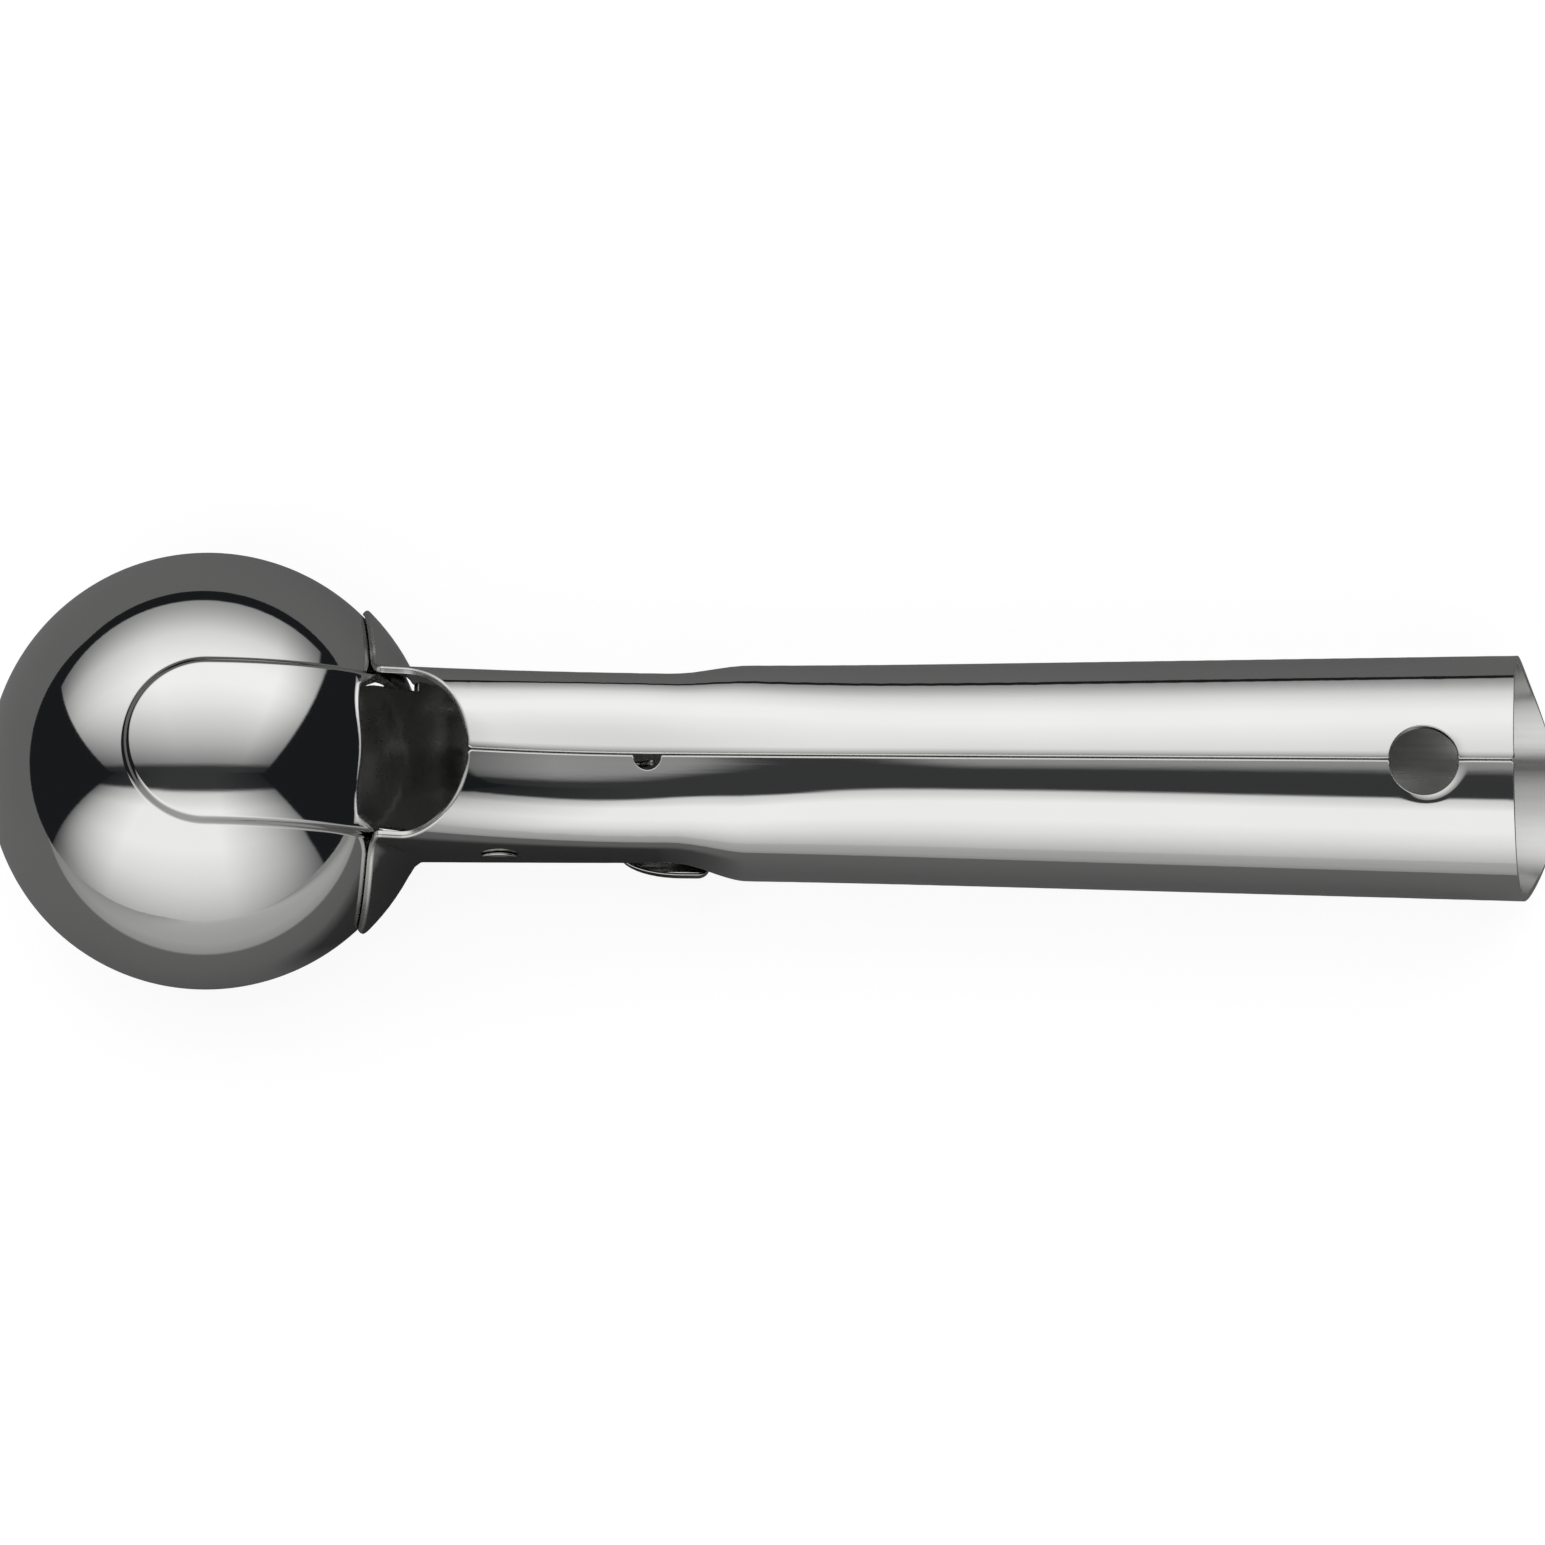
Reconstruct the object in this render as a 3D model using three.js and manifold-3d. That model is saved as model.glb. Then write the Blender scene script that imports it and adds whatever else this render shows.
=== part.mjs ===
// An ice cream scoop of pressed stainless sheet. A thumb pad under the neck tips a lever on a cross pin,
// and the lever's tongue, which lies flush in a channel of the bowl, swings out and pushes the ball off.
// Millimetres. Until the last lines X runs from the middle of the bowl along the handle, Y across it,
// and Z from the bowl's rim up towards its back.
import * as THREE from "three";
import { mergeVertices } from "three/addons/utils/BufferGeometryUtils.js";
import Module from "manifold-3d";

const wasm = await Module();
wasm.setup();

// Bowl
const bowlRadius = 28;
const bowlSheet = 1.0;
const channelHalfWidth = 9.9; // outside of the pressed channel that houses the tongue
const channelRise = 1.2; // how far the channel stands out of the bowl
const channelCentre = 1.8; // middle of its round front, behind the bowl's apex
const channelLength = 20.4; // from the bowl's apex to the channel's open rear end
const windowSill = 4.4; // height above the rim of the opening that the lever passes

// Handle
const handleSheet = 0.9;
const brazeGap = 0.3; // between the bowl and the collar that holds it
const collarLap = 7.9; // how far the collar reaches forward of the bowl's rear, at the rim
const collarLean = 0.145; // the collar's front edge leans back by this much per millimetre of height
const collarFillet = 2.0;
const collarFoot = 0.4; // the collar stops this far short of the rim
const collarFootEnd = -1; // where that edge starts to slant down to the cheeks, behind the bowl's rear
const cheekFront = 5; // where it reaches their lower edges
const cutoutHalfWidth = 10.5; // the D shaped opening over the lever
const cutoutStraight = -2.5; // where its straight sides end, behind the bowl's rear
const cutoutReach = 5.9; // where its round end lies, behind the bowl's rear
const neckHalfWidth = 12.2;
const neckSquareness = 2.7; // exponent of the section, 2 for an ellipse
const neckCentre = 4.85; // height of the neck's widest level above the rim
const neckBackRise = 5.4; // how much higher the back is at the bowl than along the grip
const neckRiseStart = 2; // behind the bowl's rear
const neckRiseLength = 28;
const neckLength = 31; // from the bowl's rear to the start of the swell into the grip
const swellLength = 10;
const cheekEdge = -1.5; // height of the cheeks' lower edges
const gripFrontHalfWidth = 13.7;
const gripEndHalfWidth = 15.8;
const gripHalfHeight = 15.0;
const gripSquareness = 2.25;
const gripCentre = 1.3;
const gripLength = 98.3; // from the end of the swell to the side of the open end
const endSlant = 2.5; // the back of the end lies this much short of its sides
const endLip = 6.1; // the lip on the mouth side reaches this much past them
const endBow = 0.75; // how hollow the end's curve is
const seamGap = 0.25;
const notchFront = 26; // spring notch on the seam, behind the bowl's rear
const notchLength = 3.7;
const notchDepth = 1.6;
const hangHoleDiameter = 9.0;
const hangHoleToEnd = 13.7; // from the hole's middle to the sides of the open end

// Pivot
const pinSetback = 9.6; // behind the bowl's rear
const pinHeight = 8.5;
const pinDiameter = 3.2;
const pinHeadDiameter = 4.8;
const pinHeadThickness = 0.35;
const pinHeadCrown = 0.2;
const pinHeadStandOff = 0.2; // between the head and the widest level of the neck
const pinEndDepth = 0.6; // how far inside that level the other end lies
const crownShoulder = 0.7; // share of the head's radius where its crown turns down
const crownShoulderRise = 0.6; // share of the crown's height there
const runningGap = 0.3;
const washerDiameter = 5.0;
const washerThickness = 0.6;

// Lever, tongue and thumb pad
const leverSheet = 1.0;
const weldGap = 0.3; // between the sheets of a spot welded lap
const tongueSideGap = 0.4;
const tongueSheet = 0.9;
const tailHeight = 12.5; // where the tongue leaves the bowl's curve for its straight tail
const tailTuck = 4; // how far the tail runs on into the curve
const shieldFront = -0.7; // the tail is wider behind the bowl, to close the cut-out from below
const shieldRear = 5.2;
const shieldHalfWidth = 10.2;
const tailHalfWidth = 8.3;
const tailReach = 14; // behind the bowl's rear
const armFront = 6.2; // behind the bowl's rear
const armSideRoom = 3.6; // from the arm's sides to the outside of the neck
const legHalfWidth = 6.0;
const shoulderSetback = 0.5; // from the ears' feet to the narrower leg
const earRadius = 3.3;
const earFlare = 3.0; // how much further back an ear's foot lies than its round end
const bendRadius = 2.4;
const padSetback = 24.5; // from the bowl's rear to the pad's front edge
const padLength = 11.5;
const padHalfWidth = 11.3;
const padFlatHalfWidth = 7.5;
const padEdgeRise = 2.0;
const padFrontCorner = 4.0;
const padRearCorner = 1.3;
const padSwingRoom = 6.5; // from the pad's rear edge to the end of the slot
const slotRound = 8; // radius of the slot's end
const heelSetback = 0.6; // from the pad's front edge to the bend of the foot
const footLength = 8.5;

// Return spring
const wireDiameter = 0.9;
const coilMeanRadius = 2.75;
const coilGap = 0.55; // between the turns
const coilTurns = 3; // whole turns between the legs
const fixedLegRise = 25; // degrees
const movingLegDrop = 60; // degrees
const kneeRun = 1; // half length of the bend under the back
const hookRun = 1.3;
const hookRise = 1.5;

// Facets
const aroundHandle = 48;
const aroundBowl = 48;
const aroundPin = 24;
const stepsPerTurn = 16;
const bendSteps = 5;
const collarSteps = [6.5, 5, 4, 3.2, 2.6, 2, 1.4, 0.8, 0, -1, -2.5, -5]; // before the bowl's rear
const neckSteps = 6;
const swellSteps = 6;
const pastCut = 2; // how far a form runs on past the cut that ends it

// Levels and stations that follow from the sizes above
const bowlRear = bowlRadius;
const collarRadius = bowlRadius + brazeGap + handleSheet;
const pinX = bowlRear + pinSetback;
const swellStart = bowlRear + neckLength;
const gripStart = swellStart + swellLength;
const gripEnd = gripStart + gripLength;
const gripBackLevel = gripCentre + gripHalfHeight;
const restLevel = gripCentre - gripHalfHeight * Math.cos(Math.PI / aroundHandle);
const padFront = bowlRear + padSetback;
const padRear = padFront + padLength;
const tongueInner = bowlRadius - bowlSheet;
const channelInHalf = channelHalfWidth - bowlSheet;
const tongueHalfWidth = channelInHalf - tongueSideGap;
const armHalfWidth = neckHalfWidth - armSideRoom;
const coilPitch = wireDiameter + coilGap;
const lapOffset = tongueSheet / 2 + weldGap + leverSheet / 2;
const footLevel = restLevel + leverSheet + weldGap + leverSheet / 2;
const heel = new THREE.Vector2(padFront + heelSetback, footLevel);
const tongueMiddle = tongueInner + tongueSheet / 2;
const tailTop = new THREE.Vector2(Math.sqrt(tongueMiddle ** 2 - tailHeight ** 2), tailHeight);
const tailToHeel = heel.clone().sub(tailTop);
const slope = Math.atan2(-tailToHeel.y, tailToHeel.x) + Math.asin(lapOffset / tailToHeel.length());
const far = 400; // reach of a cutting block, past every face

// Solids and meshes
function solidOf(geometry) {
  const bare = geometry.index ? geometry.toNonIndexed() : geometry.clone();
  for (const name of Object.keys(bare.attributes)) {
    if (name !== "position") bare.deleteAttribute(name);
  }
  const merged = mergeVertices(bare, 1e-4);
  return new wasm.Manifold(
    new wasm.Mesh({
      numProp: 3,
      vertProperties: new Float32Array(merged.attributes.position.array),
      triVerts: new Uint32Array(merged.index.array),
    }),
  );
}

function steel(name, solid, colour, roughness) {
  const mesh = solid.getMesh();
  const geometry = new THREE.BufferGeometry();
  geometry.setAttribute("position", new THREE.BufferAttribute(mesh.vertProperties, 3));
  geometry.setIndex(new THREE.BufferAttribute(mesh.triVerts, 1));
  const flat = geometry.toNonIndexed();
  flat.computeVertexNormals();
  const material = new THREE.MeshStandardMaterial({ color: colour, roughness, metalness: 1 });
  const part = new THREE.Mesh(flat, material);
  part.name = name;
  return part;
}

function block(minX, maxX, minY, maxY, minZ, maxZ) {
  const box = new THREE.BoxGeometry(maxX - minX, maxY - minY, maxZ - minZ);
  box.translate((minX + maxX) / 2, (minY + maxY) / 2, (minZ + maxZ) / 2);
  return solidOf(box);
}

// An outline drawn in X and Y, raised from one height to another.
function upright(shape, minZ, maxZ) {
  const geometry = new THREE.ExtrudeGeometry(shape, { depth: maxZ - minZ, bevelEnabled: false });
  return solidOf(geometry.translate(0, 0, minZ));
}

// An outline drawn in X and Z, swept across the object.
function across(shape, minY, maxY) {
  const geometry = new THREE.ExtrudeGeometry(shape, { depth: maxY - minY, bevelEnabled: false });
  return solidOf(geometry.rotateX(Math.PI / 2).translate(0, maxY, 0));
}

// An outline drawn in Y and Z, swept along the handle.
function along(shape, minX, maxX) {
  const geometry = new THREE.ExtrudeGeometry(shape, { depth: maxX - minX, bevelEnabled: false });
  return solidOf(geometry.rotateX(Math.PI / 2).rotateZ(Math.PI / 2).translate(minX, 0, 0));
}

function crossBar(radius, minY, maxY, x, z) {
  const bar = new THREE.CylinderGeometry(radius, radius, maxY - minY, aroundPin);
  return solidOf(bar.translate(x, (minY + maxY) / 2, z));
}

function ball(radius) {
  const sphere = new THREE.SphereGeometry(radius, aroundBowl, aroundBowl / 2);
  return solidOf(sphere.rotateX(Math.PI / 2));
}

// A closed skin through rings of as many points each, capped at both ends.
function skin(rings) {
  const count = rings[0].length;
  const points = rings.flat();
  const triangles = [];
  for (let r = 0; r + 1 < rings.length; r += 1) {
    for (let k = 0; k < count; k += 1) {
      const a = r * count + k;
      const b = r * count + ((k + 1) % count);
      triangles.push(a, b, a + count, b, b + count, a + count);
    }
  }
  const last = (rings.length - 1) * count;
  for (let k = 1; k + 1 < count; k += 1) {
    triangles.push(0, k + 1, k, last, last + k, last + k + 1);
  }
  const geometry = new THREE.BufferGeometry().setFromPoints(points);
  geometry.setIndex(triangles);
  const made = solidOf(geometry);
  return made.volume() < 0 ? solidOf(flipped(geometry)) : made;
}

function flipped(geometry) {
  const index = Array.from(geometry.index.array);
  for (let i = 0; i < index.length; i += 3) {
    [index[i], index[i + 1]] = [index[i + 1], index[i]];
  }
  return geometry.clone().setIndex(index);
}

// The handle's outer form
function smoothStep(from, to, x) {
  const t = Math.min(1, Math.max(0, (x - from) / (to - from)));
  return t * t * (3 - 2 * t);
}

function smoothLarger(a, b, width) {
  const h = Math.min(1, Math.max(0, 0.5 + (0.5 * (a - b)) / width));
  return b + (a - b) * h + width * h * (1 - h);
}

function handleLevels(x) {
  const swell = smoothStep(swellStart, gripStart, x);
  const rise = Math.min(1, (x - bowlRear - neckRiseStart) / neckRiseLength);
  const gripShare = (x - gripStart) / gripLength;
  const gripHalfWidth = gripFrontHalfWidth + (gripEndHalfWidth - gripFrontHalfWidth) * gripShare;
  return {
    centre: neckCentre + (gripCentre - neckCentre) * swell,
    halfWidth: neckHalfWidth + (gripHalfWidth - neckHalfWidth) * swell,
    back: gripBackLevel + neckBackRise * (1 - rise) ** 2,
    belly: neckCentre - neckHalfWidth + (gripCentre - gripHalfHeight - neckCentre + neckHalfWidth) * swell,
    squareness: neckSquareness + (gripSquareness - neckSquareness) * swell,
  };
}

// One section of the handle, drawn in by the given depth: the tube of neck and grip, or the collar's ball
// where that is larger, with a fillet between them.
function handleRing(x, depth) {
  const { centre, halfWidth, back, belly, squareness } = handleLevels(x);
  const wide = halfWidth - depth;
  const ballSquare = (collarRadius - depth) ** 2 - x * x;
  const ring = [];
  for (let k = 0; k < aroundHandle; k += 1) {
    const turn = ((k + 0.5) / aroundHandle) * 2 * Math.PI;
    const c = Math.cos(turn);
    const s = Math.sin(turn);
    const high = (s > 0 ? back - centre : centre - belly) - depth;
    const tube = (Math.abs(c / wide) ** squareness + Math.abs(s / high) ** squareness) ** (-1 / squareness);
    const reach = ballSquare - (centre * c) ** 2;
    const collar = reach > 0 ? Math.sqrt(reach) - centre * s : 0;
    const r = x < collarRadius ? smoothLarger(tube, collar, collarFillet) : tube;
    ring.push(new THREE.Vector3(x, r * c, centre + r * s));
  }
  return ring;
}

function handleSkin(depth, overrun) {
  const stations = [bowlRear - collarLap - pastCut - overrun];
  for (const before of collarSteps) {
    stations.push(bowlRear - before);
  }
  const neckFrom = stations[stations.length - 1];
  for (let i = 1; i <= neckSteps; i += 1) {
    stations.push(neckFrom + ((swellStart - neckFrom) * i) / neckSteps);
  }
  for (let i = 1; i <= swellSteps; i += 1) {
    stations.push(swellStart + (swellLength * i) / swellSteps);
  }
  stations.push(gripEnd + endLip + pastCut + overrun);
  return skin(stations.map((x) => handleRing(x, depth)));
}

function handleShell() {
  let shell = handleSkin(0, 0).subtract(handleSkin(handleSheet, pastCut));

  // Front edge of the collar, cut on a leaning plane
  const front = new THREE.Shape();
  const foot = bowlRear - collarLap;
  front.moveTo(foot - collarLean * far, -far);
  front.lineTo(foot + collarLean * far, far);
  front.lineTo(-far, far);
  front.lineTo(-far, -far);
  shell = shell.subtract(across(front, -far, far));

  // Mouth side of the collar and neck, open for the lever
  const slotEnd = padRear + padSwingRoom;
  const slot = new THREE.Shape();
  slot.moveTo(-far, -far);
  slot.lineTo(-far, collarFoot);
  slot.lineTo(bowlRear + collarFootEnd, collarFoot);
  slot.lineTo(bowlRear + cheekFront, cheekEdge);
  slot.lineTo(slotEnd - slotRound, cheekEdge);
  slot.absarc(slotEnd - slotRound, cheekEdge - slotRound, slotRound, Math.PI / 2, 0, true);
  slot.lineTo(slotEnd, -far);
  shell = shell.subtract(across(slot, -far, far));

  // D shaped opening over the lever
  const cutout = new THREE.Shape();
  const straightEnd = bowlRear + cutoutStraight;
  cutout.moveTo(0, -cutoutHalfWidth);
  cutout.lineTo(straightEnd, -cutoutHalfWidth);
  const roundReach = cutoutReach - cutoutStraight;
  cutout.absellipse(straightEnd, 0, roundReach, cutoutHalfWidth, -Math.PI / 2, Math.PI / 2, false);
  cutout.lineTo(0, cutoutHalfWidth);
  shell = shell.subtract(upright(cutout, neckCentre, far));

  // Butt seam along the back, the notch that holds the spring's end, and the hanging hole
  shell = shell.subtract(block(bowlRear, far, -seamGap / 2, seamGap / 2, neckCentre, far));
  const notch = new THREE.Shape();
  const notchMiddle = bowlRear + notchFront + notchLength / 2;
  notch.absellipse(notchMiddle, 0, notchLength / 2, notchDepth, Math.PI, 2 * Math.PI, false);
  shell = shell.subtract(upright(notch, neckCentre, far));
  const hole = new THREE.Shape();
  hole.absarc(gripEnd - hangHoleToEnd, 0, hangHoleDiameter / 2, 0, 2 * Math.PI, false);
  shell = shell.subtract(upright(hole, neckCentre, far));

  // Open end, cut on a curve that leaves a lip on the mouth side
  const end = new THREE.Shape();
  const endBack = gripEnd - endSlant;
  const endTip = gripEnd + endLip;
  end.moveTo(endBack, far);
  end.lineTo(endBack, gripBackLevel);
  end.quadraticCurveTo(gripEnd - endBow, gripCentre, endTip, restLevel);
  end.lineTo(endTip, -far);
  end.lineTo(far, -far);
  end.lineTo(far, far);
  shell = shell.subtract(across(end, -far, far));

  return shell.subtract(crossBar(pinDiameter / 2 + runningGap, -far, far, pinX, pinHeight));
}

// Outline of the tongue's channel: straight sides and a round front over the bowl's apex.
function channelOutline(halfWidth, rear) {
  const outline = new THREE.Shape();
  outline.moveTo(rear, -halfWidth);
  outline.lineTo(rear, halfWidth);
  outline.lineTo(channelCentre, halfWidth);
  outline.absarc(channelCentre, 0, halfWidth, Math.PI / 2, (3 * Math.PI) / 2, false);
  return outline;
}

function bowl() {
  const channelOutside = upright(channelOutline(channelHalfWidth, channelLength), windowSill, far);
  const channelInside = upright(channelOutline(channelInHalf, channelLength + pastCut), windowSill, far);
  const outside = ball(bowlRadius).add(ball(bowlRadius + channelRise).intersect(channelOutside));
  const raisedInner = ball(bowlRadius - bowlSheet + channelRise).intersect(channelInside);
  const inside = ball(bowlRadius - bowlSheet).add(raisedInner);
  const window = block(channelLength, far, -channelInHalf, channelInHalf, windowSill, far);
  return outside.subtract(inside).subtract(window).subtract(block(-far, far, -far, far, -far, 0));
}

// Headed on one side of the neck and flush with the other.
function pivotPin() {
  const r = pinDiameter / 2;
  const head = pinHeadDiameter / 2;
  const seat = neckHalfWidth + pinHeadStandOff;
  const rim = seat + pinHeadThickness;
  const top = rim + pinHeadCrown;
  const shoulder = rim + pinHeadCrown * crownShoulderRise;
  const end = neckHalfWidth - pinEndDepth;
  const profile = [
    [0, -top],
    [head * crownShoulder, -shoulder],
    [head, -rim],
    [head, -seat],
    [r, -seat],
    [r, end],
    [0, end],
  ].map(([x, y]) => new THREE.Vector2(x, y));
  const turned = new THREE.LatheGeometry(profile, aroundPin);
  return solidOf(turned.translate(pinX, 0, pinHeight));
}

function washer(side) {
  const near = armHalfWidth + runningGap;
  const ends = [side * near, side * (near + washerThickness)].sort((a, b) => a - b);
  const disc = crossBar(washerDiameter / 2, ends[0], ends[1], pinX, pinHeight);
  return disc.subtract(crossBar(pinDiameter / 2 + runningGap, -far, far, pinX, pinHeight));
}

// Middle line of the tongue's straight tail, and of the arm that lies on it, at a given X.
function tailPoint(x) {
  return new THREE.Vector2(x, tailHeight - (x - tailTop.x) * Math.tan(slope));
}

function armPoint(x) {
  return new THREE.Vector2(x, tailPoint(x).y + lapOffset / Math.cos(slope));
}

function ejectorTongue() {
  const inner = ball(tongueInner);
  const shell = ball(tongueInner + tongueSheet).subtract(inner);
  const blade = shell.intersect(upright(channelOutline(tongueHalfWidth, far), tailHeight, far));
  const tailFront = tailTop.x - tailTuck;
  const tailRear = bowlRear + tailReach;
  const side = [
    [tailFront, tongueHalfWidth],
    [bowlRear + shieldFront, tongueHalfWidth],
    [bowlRear + shieldFront, shieldHalfWidth],
    [bowlRear + shieldRear, shieldHalfWidth],
    [bowlRear + shieldRear, tailHalfWidth],
    [tailRear, tailHalfWidth],
  ];
  const otherSide = side.map(([x, y]) => [x, -y]).reverse();
  const plan = new THREE.Shape([...side, ...otherSide].map(([x, y]) => new THREE.Vector2(x, y)));
  const strip = stripOutline([tailPoint(tailFront - pastCut), tailPoint(tailRear + pastCut)], tongueSheet);
  const tail = across(strip, -far, far).intersect(upright(plan, -far, far));
  return blade.add(tail.subtract(inner));
}

// Corners of a bent strip's middle line, each turned into an arc.
function withBends(corners, radius) {
  const path = [corners[0]];
  for (let i = 1; i + 1 < corners.length; i += 1) {
    const into = corners[i].clone().sub(corners[i - 1]).normalize();
    const out = corners[i + 1].clone().sub(corners[i]).normalize();
    const turn = Math.acos(THREE.MathUtils.clamp(into.dot(out), -1, 1));
    const setback = radius * Math.tan(turn / 2);
    const start = corners[i].clone().addScaledVector(into, -setback);
    const finish = corners[i].clone().addScaledVector(out, setback);
    const arc = new THREE.QuadraticBezierCurve(start, corners[i], finish);
    path.push(...arc.getPoints(bendSteps));
  }
  path.push(corners[corners.length - 1]);
  return path;
}

// Side view of a bent strip of sheet, half its thickness to each side of the middle line.
function stripOutline(path, thickness) {
  const left = [];
  const right = [];
  path.forEach((point, i) => {
    const before = path[Math.max(0, i - 1)];
    const after = path[Math.min(path.length - 1, i + 1)];
    const way = after.clone().sub(before).normalize();
    const side = new THREE.Vector2(-way.y, way.x).multiplyScalar(thickness / 2);
    left.push(point.clone().add(side));
    right.push(point.clone().sub(side));
  });
  return new THREE.Shape([...left, ...right.reverse()]);
}

function leverArm() {
  const corners = [
    armPoint(bowlRear + armFront),
    heel,
    new THREE.Vector2(heel.x + footLength, footLevel),
  ];
  const strip = stripOutline(withBends(corners, bendRadius), leverSheet);
  let lever = across(strip, -armHalfWidth, armHalfWidth);
  const earFront = pinX - earRadius;
  const earRear = pinX + earRadius + earFlare;
  for (const side of [-1, 1]) {
    const edges = [side * legHalfWidth, side * far].sort((a, b) => a - b);
    lever = lever.subtract(block(earRear + shoulderSetback, far, edges[0], edges[1], -far, far));
  }

  const ear = new THREE.Shape();
  ear.moveTo(earFront, armPoint(earFront).y);
  ear.lineTo(earFront, pinHeight);
  ear.absarc(pinX, pinHeight, earRadius, Math.PI, 0, true);
  ear.lineTo(earRear, armPoint(earRear).y);
  lever = lever.add(across(ear, armHalfWidth - leverSheet, armHalfWidth));
  lever = lever.add(across(ear, -armHalfWidth, leverSheet - armHalfWidth));
  return lever.subtract(crossBar(pinDiameter / 2 + runningGap, -far, far, pinX, pinHeight));
}

function thumbPad() {
  const curl = padHalfWidth - padFlatHalfWidth;
  const outer = (curl ** 2 + padEdgeRise ** 2) / (2 * padEdgeRise);
  const sweep = Math.asin(curl / outer);
  const middle = restLevel + outer;
  const section = new THREE.Shape();
  section.absarc(padFlatHalfWidth, middle, outer, -Math.PI / 2, -Math.PI / 2 + sweep, false);
  section.absarc(padFlatHalfWidth, middle, outer - leverSheet, -Math.PI / 2 + sweep, -Math.PI / 2, true);
  section.absarc(-padFlatHalfWidth, middle, outer - leverSheet, -Math.PI / 2, -Math.PI / 2 - sweep, true);
  section.absarc(-padFlatHalfWidth, middle, outer, -Math.PI / 2 - sweep, -Math.PI / 2, false);
  const trough = along(section, padFront - pastCut, padRear + pastCut);

  const plan = new THREE.Shape();
  const f = padFrontCorner;
  const b = padRearCorner;
  plan.absarc(padFront + f, -padHalfWidth + f, f, Math.PI, 1.5 * Math.PI, false);
  plan.absarc(padRear - b, -padHalfWidth + b, b, 1.5 * Math.PI, 2 * Math.PI, false);
  plan.absarc(padRear - b, padHalfWidth - b, b, 0, 0.5 * Math.PI, false);
  plan.absarc(padFront + f, padHalfWidth - f, f, 0.5 * Math.PI, Math.PI, false);
  return trough.intersect(upright(plan, -far, far));
}

// Middle line of the return spring: a hooked leg from the notch, the coil round the pin, and a leg that
// bears on the arm behind the pin.
function springPath() {
  const rise = THREE.MathUtils.degToRad(fixedLegRise);
  const drop = THREE.MathUtils.degToRad(movingLegDrop);
  const startTurn = Math.PI / 2 + rise;
  const endTurn = (3 * Math.PI) / 2 - drop + 2 * Math.PI * coilTurns;
  const perTurn = coilPitch / (2 * Math.PI);
  const startY = (-perTurn * (endTurn - startTurn)) / 2;
  const coilPoint = (turn) =>
    new THREE.Vector3(
      pinX + coilMeanRadius * Math.cos(turn),
      startY + perTurn * (turn - startTurn),
      pinHeight + coilMeanRadius * Math.sin(turn),
    );
  const underBack = gripBackLevel - handleSheet - wireDiameter / 2 - runningGap;
  const hookX = bowlRear + notchFront + notchLength / 2;
  const hookY = -notchDepth / 2;
  const coilStart = coilPoint(startTurn);
  const legRun = (underBack - coilStart.z) / Math.tan(rise);
  const kneeX = coilStart.x + legRun;
  const kneeY = startY + (hookY - startY) * (legRun / (hookX - coilStart.x));
  const points = [
    new THREE.Vector3(hookX + hookRun / 2, hookY, underBack + hookRise),
    new THREE.Vector3(hookX - hookRun / 2, hookY, underBack),
    new THREE.Vector3(kneeX + kneeRun, kneeY, underBack),
    new THREE.Vector3(kneeX - kneeRun, kneeY, underBack - kneeRun * Math.tan(rise)),
  ];
  const steps = Math.round(((endTurn - startTurn) / (2 * Math.PI)) * stepsPerTurn);
  for (let i = 0; i <= steps; i += 1) {
    points.push(coilPoint(startTurn + ((endTurn - startTurn) * i) / steps));
  }
  const leave = points[points.length - 1];
  const above = (leave.x - heel.x) * Math.sin(slope) + (leave.z - heel.y) * Math.cos(slope);
  const bearing = leverSheet / 2 + runningGap + wireDiameter / 2;
  const legLength = (above - bearing) / Math.sin(drop - slope);
  const way = new THREE.Vector3(Math.cos(drop), 0, -Math.sin(drop));
  points.push(leave.clone().addScaledVector(way, legLength));
  return points;
}

function wire(points, diameter, sides) {
  const rings = [];
  let across0 = new THREE.Vector3(0, 1, 0);
  points.forEach((point, i) => {
    const before = points[Math.max(0, i - 1)];
    const after = points[Math.min(points.length - 1, i + 1)];
    const way = after.clone().sub(before).normalize();
    across0 = across0.clone().addScaledVector(way, -across0.dot(way)).normalize();
    const other = new THREE.Vector3().crossVectors(way, across0);
    const ring = [];
    for (let k = 0; k < sides; k += 1) {
      const turn = (k / sides) * 2 * Math.PI;
      const offset = across0.clone().multiplyScalar((Math.cos(turn) * diameter) / 2);
      offset.addScaledVector(other, (Math.sin(turn) * diameter) / 2);
      ring.push(point.clone().add(offset));
    }
    rings.push(ring);
  });
  return skin(rings);
}

// Least distance between two places of the wire that aren't neighbours along it.
function leastSelfGap(points, diameter) {
  let least = Infinity;
  let run = [0];
  for (let i = 1; i < points.length; i += 1) {
    run.push(run[i - 1] + points[i].distanceTo(points[i - 1]));
  }
  for (let i = 0; i < points.length; i += 1) {
    for (let j = i + 1; j < points.length; j += 1) {
      if (run[j] - run[i] > 4 * diameter) {
        least = Math.min(least, points[i].distanceTo(points[j]) - diameter);
      }
    }
  }
  return least;
}

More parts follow.
